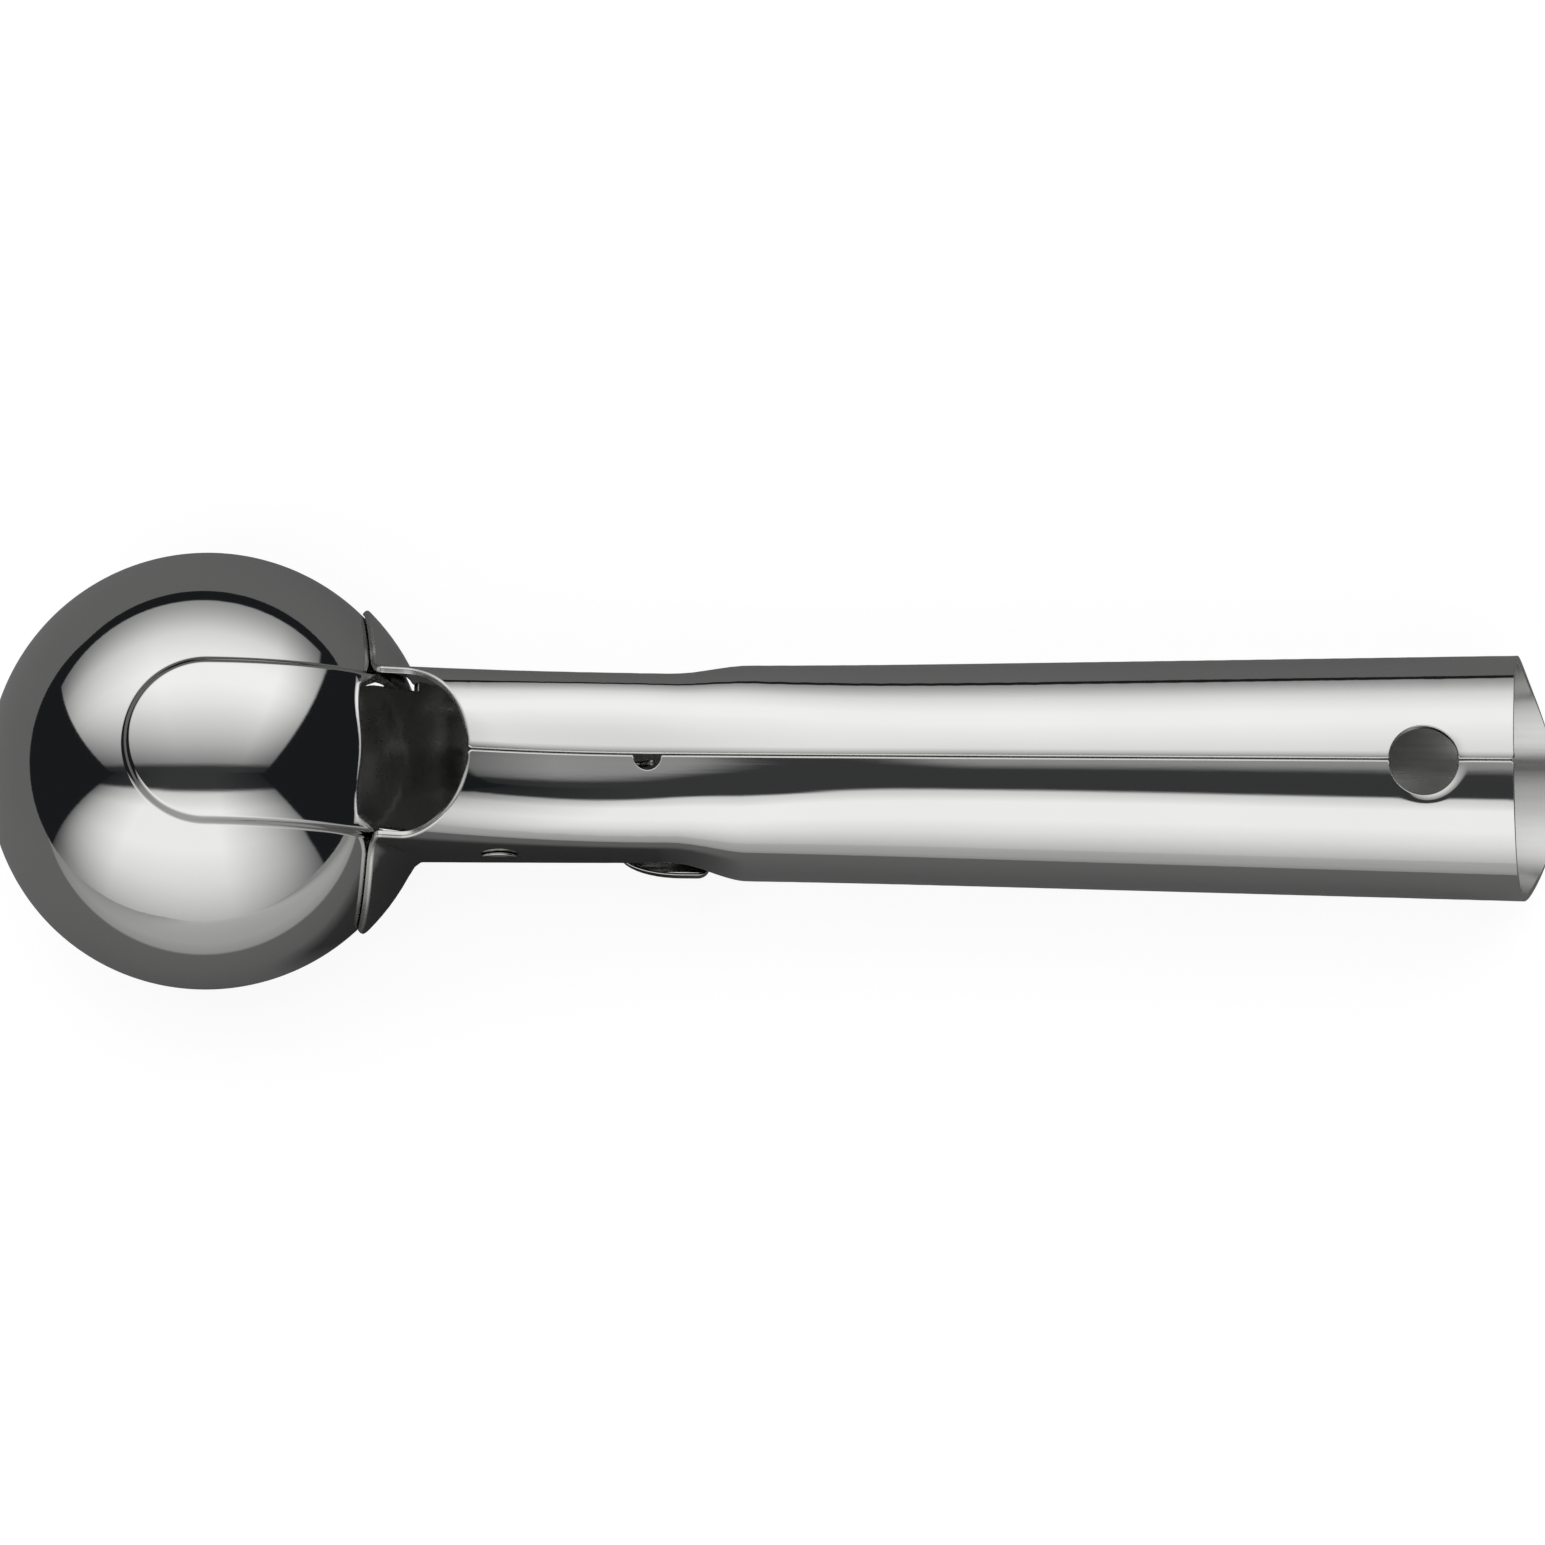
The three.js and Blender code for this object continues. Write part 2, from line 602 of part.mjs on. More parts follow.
const scoop = new THREE.Group();
const spring = springPath();
console.log("least gap of the return spring to itself, mm:", leastSelfGap(spring, wireDiameter).toFixed(2));
scoop.add(steel("handle_shell", handleShell(), 0xd6d5d2, 0.08));
scoop.add(steel("bowl", bowl(), 0xd9d8d6, 0.06));
scoop.add(steel("pivot_pin", pivotPin(), 0xc9c8c4, 0.15));
scoop.add(steel("washer_left", washer(1), 0xb9b8b4, 0.25));
scoop.add(steel("washer_right", washer(-1), 0xb9b8b4, 0.25));
scoop.add(steel("return_spring", wire(spring, wireDiameter, 6), 0xa9a9a6, 0.3));
scoop.add(steel("ejector_tongue", ejectorTongue(), 0xd2d1ce, 0.1));
scoop.add(steel("lever_arm", leverArm(), 0xcfcecb, 0.12));
scoop.add(steel("thumb_pad", thumbPad(), 0xd4d3d0, 0.1));

// The object lies mouth down on its grip and thumb pad, with the middle of its length over the origin.
const overallFront = -bowlRadius;
const overallEnd = gripEnd + endLip;
scoop.position.set(-(overallFront + overallEnd) / 2, 0, -restLevel);

const model = new THREE.Group();
model.add(scoop);
export default model;
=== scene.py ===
from math import asin, atan2, copysign, cos, dist, exp, hypot, pi, radians, sin, sqrt, tan

import bpy
from mathutils import Matrix, Vector, geometry


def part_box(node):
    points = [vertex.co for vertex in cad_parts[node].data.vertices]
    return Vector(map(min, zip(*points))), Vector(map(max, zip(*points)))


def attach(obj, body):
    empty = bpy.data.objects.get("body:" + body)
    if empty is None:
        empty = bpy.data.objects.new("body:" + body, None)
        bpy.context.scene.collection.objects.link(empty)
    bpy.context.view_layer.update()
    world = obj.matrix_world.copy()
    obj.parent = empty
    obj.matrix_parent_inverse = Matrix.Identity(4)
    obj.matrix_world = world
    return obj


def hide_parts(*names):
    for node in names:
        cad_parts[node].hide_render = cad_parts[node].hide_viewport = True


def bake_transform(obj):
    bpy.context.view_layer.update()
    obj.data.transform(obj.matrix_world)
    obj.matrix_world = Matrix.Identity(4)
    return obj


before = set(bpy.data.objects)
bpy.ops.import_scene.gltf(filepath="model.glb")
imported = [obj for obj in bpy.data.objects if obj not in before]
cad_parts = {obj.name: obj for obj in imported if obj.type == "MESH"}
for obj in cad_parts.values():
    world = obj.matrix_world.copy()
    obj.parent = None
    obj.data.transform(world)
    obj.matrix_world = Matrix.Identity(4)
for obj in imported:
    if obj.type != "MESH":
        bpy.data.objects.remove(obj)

scene = bpy.context.scene
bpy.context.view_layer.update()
bowl_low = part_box("bowl")[0]

# Bowl
BOWL_RADIUS = 28.0
BOWL_SHEET = 1.0
BOWL_RIM_EDGE = 0.35
CHANNEL_HALF_WIDTH = 9.9
CHANNEL_CENTRE = 1.8
CHANNEL_RISE = 0.7  # how far the channel stands out of the ball at its front
CHANNEL_END_RISE = 1.5
CHANNEL_STEP = 1.5  # width of the step round it
CHANNEL_LENGTH = 20.3
CHANNEL_WAVE = 0.25  # its end is a little wavy
CHANNEL_HALF_WAVE = 6.5
CHANNEL_CORNER = 1.9  # how far the corners of its end flare back
CORNER_END = CHANNEL_LENGTH + CHANNEL_CORNER
CHANNEL_FLARE_FROM = 8.3
CHANNEL_FLARE_PAST = 0.4
WINDOW_HALF_WIDTH = 9.3
WINDOW_CORNER_WIDTH = 10.2
WINDOW_SILL = 4.4
WINDOW_ROUND = 0.5
LIP_RISE = 0.16  # the channel's end is turned up in a fine lip
LIP_WIDTH = 0.4

# Handle
HANDLE_SHEET = 0.9
SHEET_EDGE = 0.2
INNER_SHARE = 0.4  # how far a sheet's inner corner is rounded, of its outer one
FRONT_EDGE = 0.4  # the collar and the cut-out are rounded by polishing, the other edges only broken
FRONT_EDGE_RUN = 2.0
BACK_EDGE = 0.16
SEAM_EDGE = 0.3
EDGE_TURNS = [radians(a) for a in (30, 60, 90, 90, 120, 150)]  # round a sheet's outer corner, then its inner
CORNER_TURNS = (0.2, 0.4, 0.6, 0.8)  # shares of the way round an outline's corner
CORNER_SHARE = 0.45  # most of a run that its corner may take
CREASE_ROOM = 0.3  # least distance between points of a mesh along its creases
FILL_ROOM = 0.6  # and between the others, as a share of their spacing
SETTLING = 12  # rounds in which an edge finds an X that depends on itself
COLLAR_RADIUS = 29.05
COLLAR_LAP = 7.9
COLLAR_FRONT = BOWL_RADIUS - COLLAR_LAP
COLLAR_LEAN = 0.145
COLLAR_FILLET = 2.0
COLLAR_FOOT = 0.4
COLLAR_FOOT_END = 27.0
CHEEK_FRONT = 33.0
CHEEK_EDGE = -1.5
TAB_CORNER = 1.2
CUTOUT_HALF_WIDTH = 10.5
CUTOUT_STRAIGHT = 25.5
CUTOUT_TIP = 33.9
CUTOUT_CORNER_LEVEL = 13.0  # height at which the cut-out meets the collar's front
NECK_HALF_WIDTH = 11.7
NECK_CENTRE = 5.5
NECK_BACK_RISE = 5.4
NECK_RISE_START = 30.0
NECK_RISE_LENGTH = 28.0
SWELL_START = 59.0
GRIP_START = 69.0
GRIP_END = 167.3
GRIP_FRONT_HALF_WIDTH = 13.4
GRIP_END_HALF_WIDTH = 15.55
GRIP_HALF_HEIGHT = 15.0
GRIP_CENTRE = 1.3
GRIP_BACK = GRIP_CENTRE + GRIP_HALF_HEIGHT
GRIP_BELLY = GRIP_CENTRE - GRIP_HALF_HEIGHT
END_SLANT = 2.5
END_RUN = 4.9  # the slant of the end from the back to the belly, and the lip past it
END_LIP = 3.7
END_LIP_POWER = 6
SLOT_END = 70.5
SLOT_ROUND = 8.0
ROUND_START = SLOT_END - SLOT_ROUND
SEAM_CORNER = 0.3  # roundings of the blank's corners
FOOT_CORNER = 0.8
SLOT_CORNER = 0.2
END_CORNER = 0.4
SEAM_GAP = 0.06
NECK_SQUARENESS = 3.5  # exponent of the section, 2 for an ellipse
GRIP_SQUARENESS = 2.3
ROUNDING_MIDDLE = 64.0  # where the section turns from the neck's to the grip's, and over what run
ROUNDING_RUN = 8.5
RIDGE_NECK_SLOPE = 0.114  # the sheet's edges stayed flat when it was rolled, so they meet in a faint ridge
RIDGE_FRONT_SLOPE = 0.144
RIDGE_GRIP_SLOPE = 0.102
RIDGE_NECK_WIDTH = 8.0
RIDGE_GRIP_WIDTH = 5.2
RIDGE_TURN = (58.0, 74.0)  # where it goes over from the neck's form to the grip's, and where it grows flatter
RIDGE_FADE = (76.0, 100.0)
BACK_LINES = (2.2, 3.3, 4.6, 6.0, 7.5, 9.0)  # distances from the seam at which the mesh follows the back
SEAM_ROLL = 0.16  # how far one edge of the seam is rolled in
SEAM_ROLL_WIDTH = 1.1
NOTCH_MIDDLE = 56.3
NOTCH_HALF_LENGTH = 1.75
NOTCH_DEPTH = 1.9
HOLE_X = 153.6
HOLE_RADIUS = 4.35
HOLE_CUT = HOLE_RADIUS + BACK_EDGE
HOLE_ROLL = 0.26
HOLE_ROLL_TURN = radians(-40)  # the side on which the hole's edge is rolled in
HOLE_ROLL_WIDTH = 1.2

# Pivot, lever and thumb pad
PIN_X = 37.6
PIN_Z = 8.5
PIN_RADIUS = 1.6
PIN_HEAD_RADIUS = 2.4
PIN_HEAD_GAP = 0.08
PIN_HEAD_THICKNESS = 0.4
PIN_CROWN = 0.18
PIN_RIM_SHARE = 0.45  # radius of the head's rounded rim, of its thickness
PIN_RING_SHARE = 0.6  # radius of its raised ring, of its own
PIN_DISH_SHARE = 0.97  # how far in its dished middle runs before it is closed
PIN_NEAR_END = 11.6
PIN_FAR_END = 11.4
PIN_CHAMFER = 0.25
WASHER_RADIUS = 2.5
WASHER_NEAR = 8.9
WASHER_THICKNESS = 0.6
WASHER_ROUND = 0.08
WASHER_BREAK = (0.03, 0.02)  # the middle of that rounding, from the washer's face and from its rim
PIN_HOLE_RADIUS = 1.75
LEVER_SHEET = 1.0
TONGUE_SHEET = 0.9
TONGUE_HALF_WIDTH = 8.5
TONGUE_FLARE_WIDTH = 9.0
TONGUE_RADIUS = 27.9
WELD_GAP = 0.3
TAIL_HEIGHT = 11.2
TAIL_BEND = 0.4
SHIELD_FRONT = 27.3
SHIELD_REAR = 33.2
SHIELD_HALF_WIDTH = 10.2
TAIL_HALF_WIDTH = 8.3
TAIL_REAR = 42.0
ARM_FRONT = 34.2
ARM_HALF_WIDTH = 8.6
LEG_HALF_WIDTH = 6.0
EAR_RADIUS = 3.3
EAR_FLARE = 3.0
EAR_BEND = 1.5
EAR_SETBACK = 0.3  # from the arm's front edge
EAR_FRONT_ROOT = 0.8  # where an ear's edges start, from the arm's flat
EAR_REAR_ROOT = 0.4
SHOULDER_RUN = 1.2
LEG_BEND = 2.9
TONGUE_CORNER = 0.3
ARM_CORNER = 0.4
PAD_FRONT = 52.0
PAD_REAR = 64.0
PAD_HALF_WIDTH = 11.75
PAD_FLAT_HALF_WIDTH = 7.5
PAD_EDGE_RISE = 1.2
PAD_TAPER_LENGTH = 8.0
PAD_TAPER_WIDTH = 3.5
PAD_REAR_CORNER = 1.3
PAD_EDGE = SHEET_EDGE * 1.5
HEEL_X = 53.1
FOOT_LENGTH = 8.5

# Return spring
WIRE_RADIUS = 0.45
COIL_RADIUS = 2.75
COIL_PITCH = 1.45
COIL_TURNS = 3
FIXED_LEG_RISE = radians(25)
MOVING_LEG_DROP = radians(60)
HOOK_RUN = 1.3
HOOK_RISE = 1.5
HOOK_BEND = 0.6
KNEE_BEND = 2.0
WIRE_END_TURNS = [radians(a) for a in (25, 55, 80)]  # round a wire's end
WIRE_END_SHARE = 0.6  # length of that end, of the wire's radius
SPRING_GAP = 0.3

ROUND_SIDES = 72
WIRE_SIDES = 20
MM = 0.001
FLOOR_LEVEL = -bowl_low.z / MM
BOWL_MIDDLE = Vector((bowl_low.x + BOWL_RADIUS * MM, 0.0, bowl_low.z))


def in_frame(point):
    return BOWL_MIDDLE + Vector(point) * MM


def smooth_step(start, end, x):
    t = min(1.0, max(0.0, (x - start) / (end - start)))
    return t * t * (3 - 2 * t)


def smooth_larger(a, b, width):
    h = min(1.0, max(0.0, 0.5 + 0.5 * (a - b) / width))
    return between(b, a, h) + width * h * (1 - h)


def between(start, end, share):
    return start + (end - start) * share


def solve(rises_past, low, high):
    """The place between low and high where rises_past turns from false to true."""
    halvings = 40
    for _ in range(halvings):
        middle = (low + high) / 2
        if rises_past(middle):
            high = middle
        else:
            low = middle
    return (low + high) / 2


def steps(start, end, spacing):
    """Places from start to end, both included, about a spacing apart."""
    count = max(1, round(abs(end - start) / spacing))
    return [start + (end - start) * i / count for i in range(count + 1)]


def arc(x, y, run, rise, turns):
    """Points of an ellipse about (x, y)."""
    return [(x + run * cos(a), y + rise * sin(a)) for a in turns]


def along_x(start, end, y, spacing):
    return [(x, y) for x in steps(start, end, spacing)]


def straight(start, end, spacing):
    """Points from start to end, the spacing given as a share of the way."""
    return [tuple(between(a, b, k) for a, b in zip(start, end)) for k in steps(0, 1, spacing)]


def rounded(leave, corner, enter, shares):
    """Points round a corner, from where one line is left to where the next is entered."""
    return [leave * (1 - k) ** 2 + corner * 2 * k * (1 - k) + enter * k * k for k in shares]


def circle(x, y, radius, spacing):
    return arc(x, y, radius, radius, steps(0, 2 * pi, spacing)[:-1])


# Sheet pieces. A blank is cut to an outline in its flat coordinates and bent to a skin, the outer face.
# The inner face lies a sheet's thickness below it, and the cut edges between them are rounded.
def area(loop):
    return sum(a[0] * b[1] - b[0] * a[1] for a, b in zip(loop, loop[1:] + loop[:1])) / 2


def trimmed(run, start, end):
    """A run of points without its first and last stretch."""
    ways = [0.0]
    for a, b in zip(run, run[1:]):
        ways.append(ways[-1] + dist(a, b))
    whole, least, slack = ways[-1], 0.03, 1e-9

    def at(way):
        i = next(k for k in range(1, len(run)) if ways[k] >= way - slack)
        share = (way - ways[i - 1]) / (ways[i] - ways[i - 1])
        return tuple(Vector(run[i - 1]).lerp(Vector(run[i]), share))

    middle = [p for p, way in zip(run, ways) if start + least < way < whole - end - least]
    return [at(start)] + middle + [at(whole - end)]


def joined(*runs, corners):
    """One closed outline from runs of points, each joint rounded by the size given for the run before it."""
    lengths = [sum(dist(a, b) for a, b in zip(run, run[1:])) for run in runs]
    sizes = [
        min(size, CORNER_SHARE * lengths[i], CORNER_SHARE * lengths[(i + 1) % len(runs)])
        for i, size in enumerate(corners)
    ]
    parts = [trimmed(run, sizes[i - 1], sizes[i]) for i, run in enumerate(runs)]
    outline = []
    for i, part in enumerate(parts):
        outline += part
        leave, meet, enter = Vector(part[-1]), Vector(runs[i][-1]), Vector(parts[(i + 1) % len(parts)][0])
        outline += [tuple(p) for p in rounded(leave, meet, enter, CORNER_TURNS)]
    return outline


def links_round(loops):
    return [(loop[i - 1], loop[i]) for loop in loops for i in range(len(loop))]


def inner_points(loops, creases, step_at):
    """Points that fill an outline clear of its edges: those along the creases, then rows between them."""
    edges = links_round(loops)
    cell = 1.5
    near = {}

    def keep_clear_of(places):
        for p in places:
            near.setdefault((p[0] // cell, p[1] // cell), []).append(p)

    def crowded(u, v, room):
        home = (u // cell, v // cell)
        return any(
            (p[0] - u) ** 2 + (p[1] - v) ** 2 < room ** 2
            for i in (-1, 0, 1)
            for j in (-1, 0, 1)
            for p in near.get((home[0] + i, home[1] + j), ())
        )

    for loop in loops:
        keep_clear_of(loop)
    points = [p for crease in creases for p in crease if inside(edges, *p) and not crowded(*p, CREASE_ROOM)]
    keep_clear_of(points)
    u = min(p[0] for p in loops[0])
    end = max(p[0] for p in loops[0])
    row = 0
    while True:
        step = step_at(u) if callable(step_at) else step_at
        u += step
        if u >= end:
            return points
        row += 1
        crossings = sorted(
            a[1] + (u - a[0]) * (b[1] - a[1]) / (b[0] - a[0]) for a, b in edges if (a[0] > u) != (b[0] > u)
        )
        for low, high in zip(crossings[::2], crossings[1::2]):
            v = low + step * (0.5 if row % 2 else 1.0)
            while v < high:
                if not crowded(u, v, FILL_ROOM * step):
                    points.append((u, v))
                v += step


def inside(edges, u, v):
    """Whether a place lies within an outline and outside its holes."""
    beyond = [
        a for a, b in edges
        if (a[1] > v) != (b[1] > v) and a[0] + (v - a[1]) * (b[0] - a[0]) / (b[1] - a[1]) > u
    ]
    return len(beyond) % 2 == 1


def triangles_within(flat, rings):
    """Triangles over the sheet alone: those to the left of its outlines, and all that join them inside."""
    links = links_round(rings)
    whole_hull, weld = 0, 1e-7
    _, _, triangles, origins, _, _ = geometry.delaunay_2d_cdt(flat, links, [], whole_hull, weld)
    triangles = [tuple(origins[k][0] for k in triangle) for triangle in triangles]
    left_of = {}
    for a, b, c in triangles:
        left_of.update({(a, b): (a, b, c), (b, c): (a, b, c), (c, a): (a, b, c)})
    outline = set(links)
    waiting = [left_of[link] for link in links]
    found = set()
    while waiting:
        a, b, c = waiting.pop()
        if (a, b, c) not in found:
            found.add((a, b, c))
            waiting += [left_of[q, p] for p, q in ((a, b), (b, c), (c, a)) if (p, q) not in outline]
    return [triangle for triangle in triangles if triangle in found]


def placed(name, data):
    item = bpy.data.objects.new(name, data)
    scene.collection.objects.link(item)
    return item


def new_piece(name, points, faces, materials, normals=None, sides=None):
    mesh = bpy.data.meshes.new(name)
    mesh.from_pydata([in_frame(p) for p in points], [], faces)
    for material in materials:
        mesh.materials.append(material)
    if sides is not None:
        inner_from, edges_from = sides
        for polygon in mesh.polygons[inner_from:]:
            polygon.material_index = 1 if polygon.index < edges_from else 2
    for polygon in mesh.polygons:
        polygon.use_smooth = True
    if normals:
        mesh.normals_split_custom_set_from_vertices(normals)
    return placed(name, mesh)


def outwards(skin, u, v, nudge):
    """The way straight out of a skin."""
    along = skin(u + nudge, v) - skin(u - nudge, v)
    across = skin(u, v + nudge) - skin(u, v - nudge)
    return along.cross(across).normalized()


def sheet_piece(name, skin, loops, thickness, step_at, materials, edge=SHEET_EDGE, creases=(), facing=1):
    """A sheet bent to a skin. Its loops are an outline and holes, its materials outside, inside and edge."""
    loops = [list(loop) for loop in loops]
    for i, loop in enumerate(loops):
        if (area(loop) > 0) != (i == 0):
            loop.reverse()
    flat = [Vector(p) for part in (*loops, inner_points(loops, creases, step_at)) for p in part]
    rings = []
    start = 0
    for loop in loops:
        rings.append(list(range(start, start + len(loop))))
        start += len(loop)
    kept = [corners[::facing] for corners in triangles_within(flat, rings)]

    laid = [(skin(*p), outwards(skin, *p, nudge=0.01) * facing) for p in flat]
    count = len(flat)
    points = [p for p, n in laid] + [p - n * thickness for p, n in laid]
    normals = [n for p, n in laid] + [-n for p, n in laid]
    faces = kept + [(c + count, b + count, a + count) for a, b, c in kept]
    sides = (len(kept), 2 * len(kept))
    for ring in rings:
        size = len(ring)
        strips = [ring]
        for k, turn in enumerate(EDGE_TURNS):
            strip = []
            for i in range(size):
                p, n = laid[ring[i]]
                way = laid[ring[(i + 1) % size]][0] - laid[ring[i - 1]][0]
                out = way.cross(n).normalized() * facing
                rounding = edge(*flat[ring[i]]) if callable(edge) else edge
                if k < len(EDGE_TURNS) // 2:
                    reach = rounding * sin(turn)
                    depth = rounding * (1 - cos(turn))
                else:
                    inner = rounding * INNER_SHARE
                    reach = rounding - inner * (1 - sin(turn))
                    depth = thickness - inner * (1 + cos(turn))
                strip.append(len(points))
                points.append(p + out * reach - n * depth)
                normals.append(n * cos(turn) + out * sin(turn))
            strips.append(strip)
        strips.append([i + count for i in ring])
        for upper, lower in zip(strips, strips[1:]):
            for i in range(size):
                quad = (upper[i - 1], lower[i - 1], lower[i], upper[i])
                faces.append(quad if facing > 0 else quad[::-1])
    return new_piece(name, points, faces, materials, normals, sides)


def turns_round(sides):
    return [2 * pi * k / sides for k in range(sides)]


def ring_faces(rows, sides, closed=False):
    """Faces between rows of points round an axis, capped at the ends unless the last row joins the first."""
    faces = []
    for i in range(rows if closed else rows - 1):
        j = (i + 1) % rows
        for k in range(sides):
            m = (k + 1) % sides
            faces.append((i * sides + k, i * sides + m, j * sides + m, j * sides + k))
    if not closed:
        faces.append(tuple(range(sides))[::-1])
        faces.append(tuple((rows - 1) * sides + k for k in range(sides)))
    return faces


def turned_piece(name, profile, materials):
    """A profile of (distance along Y, radius), turned about the pin's axis. A closed profile makes a ring."""
    closed = profile[0] == profile[-1]
    rows = profile[:-1] if closed else profile
    points = [
        (PIN_X + r * cos(turn), y, PIN_Z + r * sin(turn))
        for y, r in rows
        for turn in turns_round(ROUND_SIDES)
    ]
    return new_piece(name, points, ring_faces(len(rows), ROUND_SIDES, closed), materials)


def peened_head(name, materials):
    """The pin's head, which lies on the round cheek: a rounded rim, a raised ring and a dished middle."""
    rim = PIN_HEAD_THICKNESS * PIN_RIM_SHARE
    ring = PIN_HEAD_RADIUS * PIN_RING_SHARE
    top = PIN_HEAD_GAP + 2 * rim
    outer = PIN_HEAD_RADIUS - rim
    profile = [(PIN_RADIUS, PIN_HEAD_GAP)]
    profile += arc(outer, PIN_HEAD_GAP + rim, rim, rim, steps(-pi / 2, pi / 2, spacing=0.3))
    profile += [
        (between(outer, ring, k), top + PIN_CROWN * sin(pi / 2 * k))
        for k in steps(0.15, 1, spacing=0.15)
    ]
    profile += [
        (ring * (1 - k), top + PIN_CROWN * cos(pi / 2 * k) ** 2)
        for k in steps(0.1, PIN_DISH_SHARE, spacing=0.12)
    ]
    points = []
    for r, height in profile:
        for turn in turns_round(ROUND_SIDES):
            x = PIN_X + r * cos(turn)
            around = at_z(x, PIN_Z + r * sin(turn))[1] / ROLL_SCALE
            place = handle_point(x, around) + outwards(handle_point, x, around, nudge=0.05) * height
            points.append(Vector((place.x, -place.y, place.z)))
    return new_piece(name, points, ring_faces(len(profile), ROUND_SIDES), materials)


# The handle's form
def handle_levels(x):
    """Height of the widest level, half the width there, and heights of the back and the belly."""
    swell = smooth_step(SWELL_START, GRIP_START, x)
    share = (x - GRIP_START) / (GRIP_END - GRIP_START)
    grip_half = between(GRIP_FRONT_HALF_WIDTH, GRIP_END_HALF_WIDTH, share)
    rise = min(1.0, (x - NECK_RISE_START) / NECK_RISE_LENGTH)
    neck_belly = NECK_CENTRE - NECK_HALF_WIDTH
    return (
        between(NECK_CENTRE, GRIP_CENTRE, swell),
        between(NECK_HALF_WIDTH, grip_half, swell),
        GRIP_BACK + NECK_BACK_RISE * (1 - rise) ** 2,
        between(neck_belly, GRIP_BELLY, swell),
    )


def seam_ridge(x, y):
    """How far the back stands out beside the seam, at a distance y from it."""
    to_grip = smooth_step(*RIDGE_TURN, x)
    slope = between(RIDGE_NECK_SLOPE, RIDGE_FRONT_SLOPE, to_grip)
    slope += (RIDGE_GRIP_SLOPE - RIDGE_FRONT_SLOPE) * smooth_step(*RIDGE_FADE, x)
    width = between(RIDGE_NECK_WIDTH, RIDGE_GRIP_WIDTH, to_grip)
    return slope * width / 2 * (1 - min(1.0, y / width)) ** 2


def handle_point(x, turn):
    """A point of the handle's outer face. turn is the angle from the seam on the back towards +Y."""
    centre, half, back, belly = handle_levels(x)
    c = sin(turn)
    s = cos(turn)
    high = back - centre if s > 0 else centre - belly
    turned_to_grip = 1 + exp((x - ROUNDING_MIDDLE) / ROUNDING_RUN)
    power = GRIP_SQUARENESS + (NECK_SQUARENESS - GRIP_SQUARENESS) / turned_to_grip
    r = (abs(c / half) ** power + abs(s / high) ** power) ** (-1 / power)
    if x < COLLAR_RADIUS:
        reach = COLLAR_RADIUS ** 2 - x * x - (centre * c) ** 2
        collar = sqrt(reach) - centre * s if reach > 0 else 0.0
        r = smooth_larger(r, collar, COLLAR_FILLET)
    y = r * c
    z = centre + r * s
    if s > 0:
        z += seam_ridge(x, abs(y))
        if 0 < y < SEAM_ROLL_WIDTH:
            z -= SEAM_ROLL * (1 - y / SEAM_ROLL_WIDTH) ** 2
        from_hole = hypot(x - HOLE_X, y) - HOLE_RADIUS
        if from_hole < HOLE_ROLL_WIDTH:
            rolled = max(0.0, cos(atan2(y, x - HOLE_X) - HOLE_ROLL_TURN))
            z -= rolled * HOLE_ROLL * (1 - max(0.0, from_hole) / HOLE_ROLL_WIDTH) ** 2
    return Vector((x, y, z))


ROLL_SCALE = 13.0  # millimetres of blank for a radian round the handle
BLANK_WIDTH = 2 * pi * ROLL_SCALE


def handle_skin(u, v):
    return handle_point(u, v / ROLL_SCALE)


def at_y(x, y):
    """The blank's coordinates of the place on the back at this X and Y."""
    turn = solve(lambda t: handle_point(x, t).y > abs(y), 0.0, pi / 2)
    return x, ROLL_SCALE * (turn if y > 0 else 2 * pi - turn)


def at_z(x, z):
    """The same for the place on the +Y cheek at this X and Z."""
    turn = solve(lambda t: handle_point(x, t).z < z, pi / 4, pi)
    return x, ROLL_SCALE * turn


def mirrored(run):
    return [(u, BLANK_WIDTH - v) for u, v in reversed(run)]


def handle_end_x(z):
    k = min(1.0, max(0.0, (GRIP_BACK - z) / (GRIP_BACK - GRIP_BELLY)))
    return GRIP_END - END_SLANT + END_RUN * k + END_LIP * k ** END_LIP_POWER


def collar_front(turn):
    x = COLLAR_FRONT
    for _ in range(SETTLING):
        x = COLLAR_FRONT + COLLAR_LEAN * handle_point(x, turn).z
    return x, turn * ROLL_SCALE


def cheek_level(x):
    """Height of the lower edge of the collar, the cheeks and the round end of the lever's slot."""
    if x < COLLAR_FOOT_END:
        return COLLAR_FOOT
    if x < CHEEK_FRONT:
        return between(COLLAR_FOOT, CHEEK_EDGE, smooth_step(COLLAR_FOOT_END, CHEEK_FRONT, x))
    past = max(0.0, x - ROUND_START)
    return CHEEK_EDGE - SLOT_ROUND + sqrt(max(0.0, SLOT_ROUND ** 2 - past ** 2))


def handle_edge(u, v):
    """Radius to which the sheet's outer corner is rounded at a place on the blank."""
    from_seam = min(v, BLANK_WIDTH - v)
    near, away = 1.5 * SEAM_EDGE, 3 * SEAM_EDGE
    front = smooth_step(near, CUTOUT_HALF_WIDTH / 3, from_seam)
    front *= smooth_step(CUTOUT_TIP + FRONT_EDGE_RUN, CUTOUT_TIP, u)
    at_seam = smooth_step(away, near, from_seam)
    return BACK_EDGE + (FRONT_EDGE - BACK_EDGE) * front + (SEAM_EDGE - BACK_EDGE) * at_seam


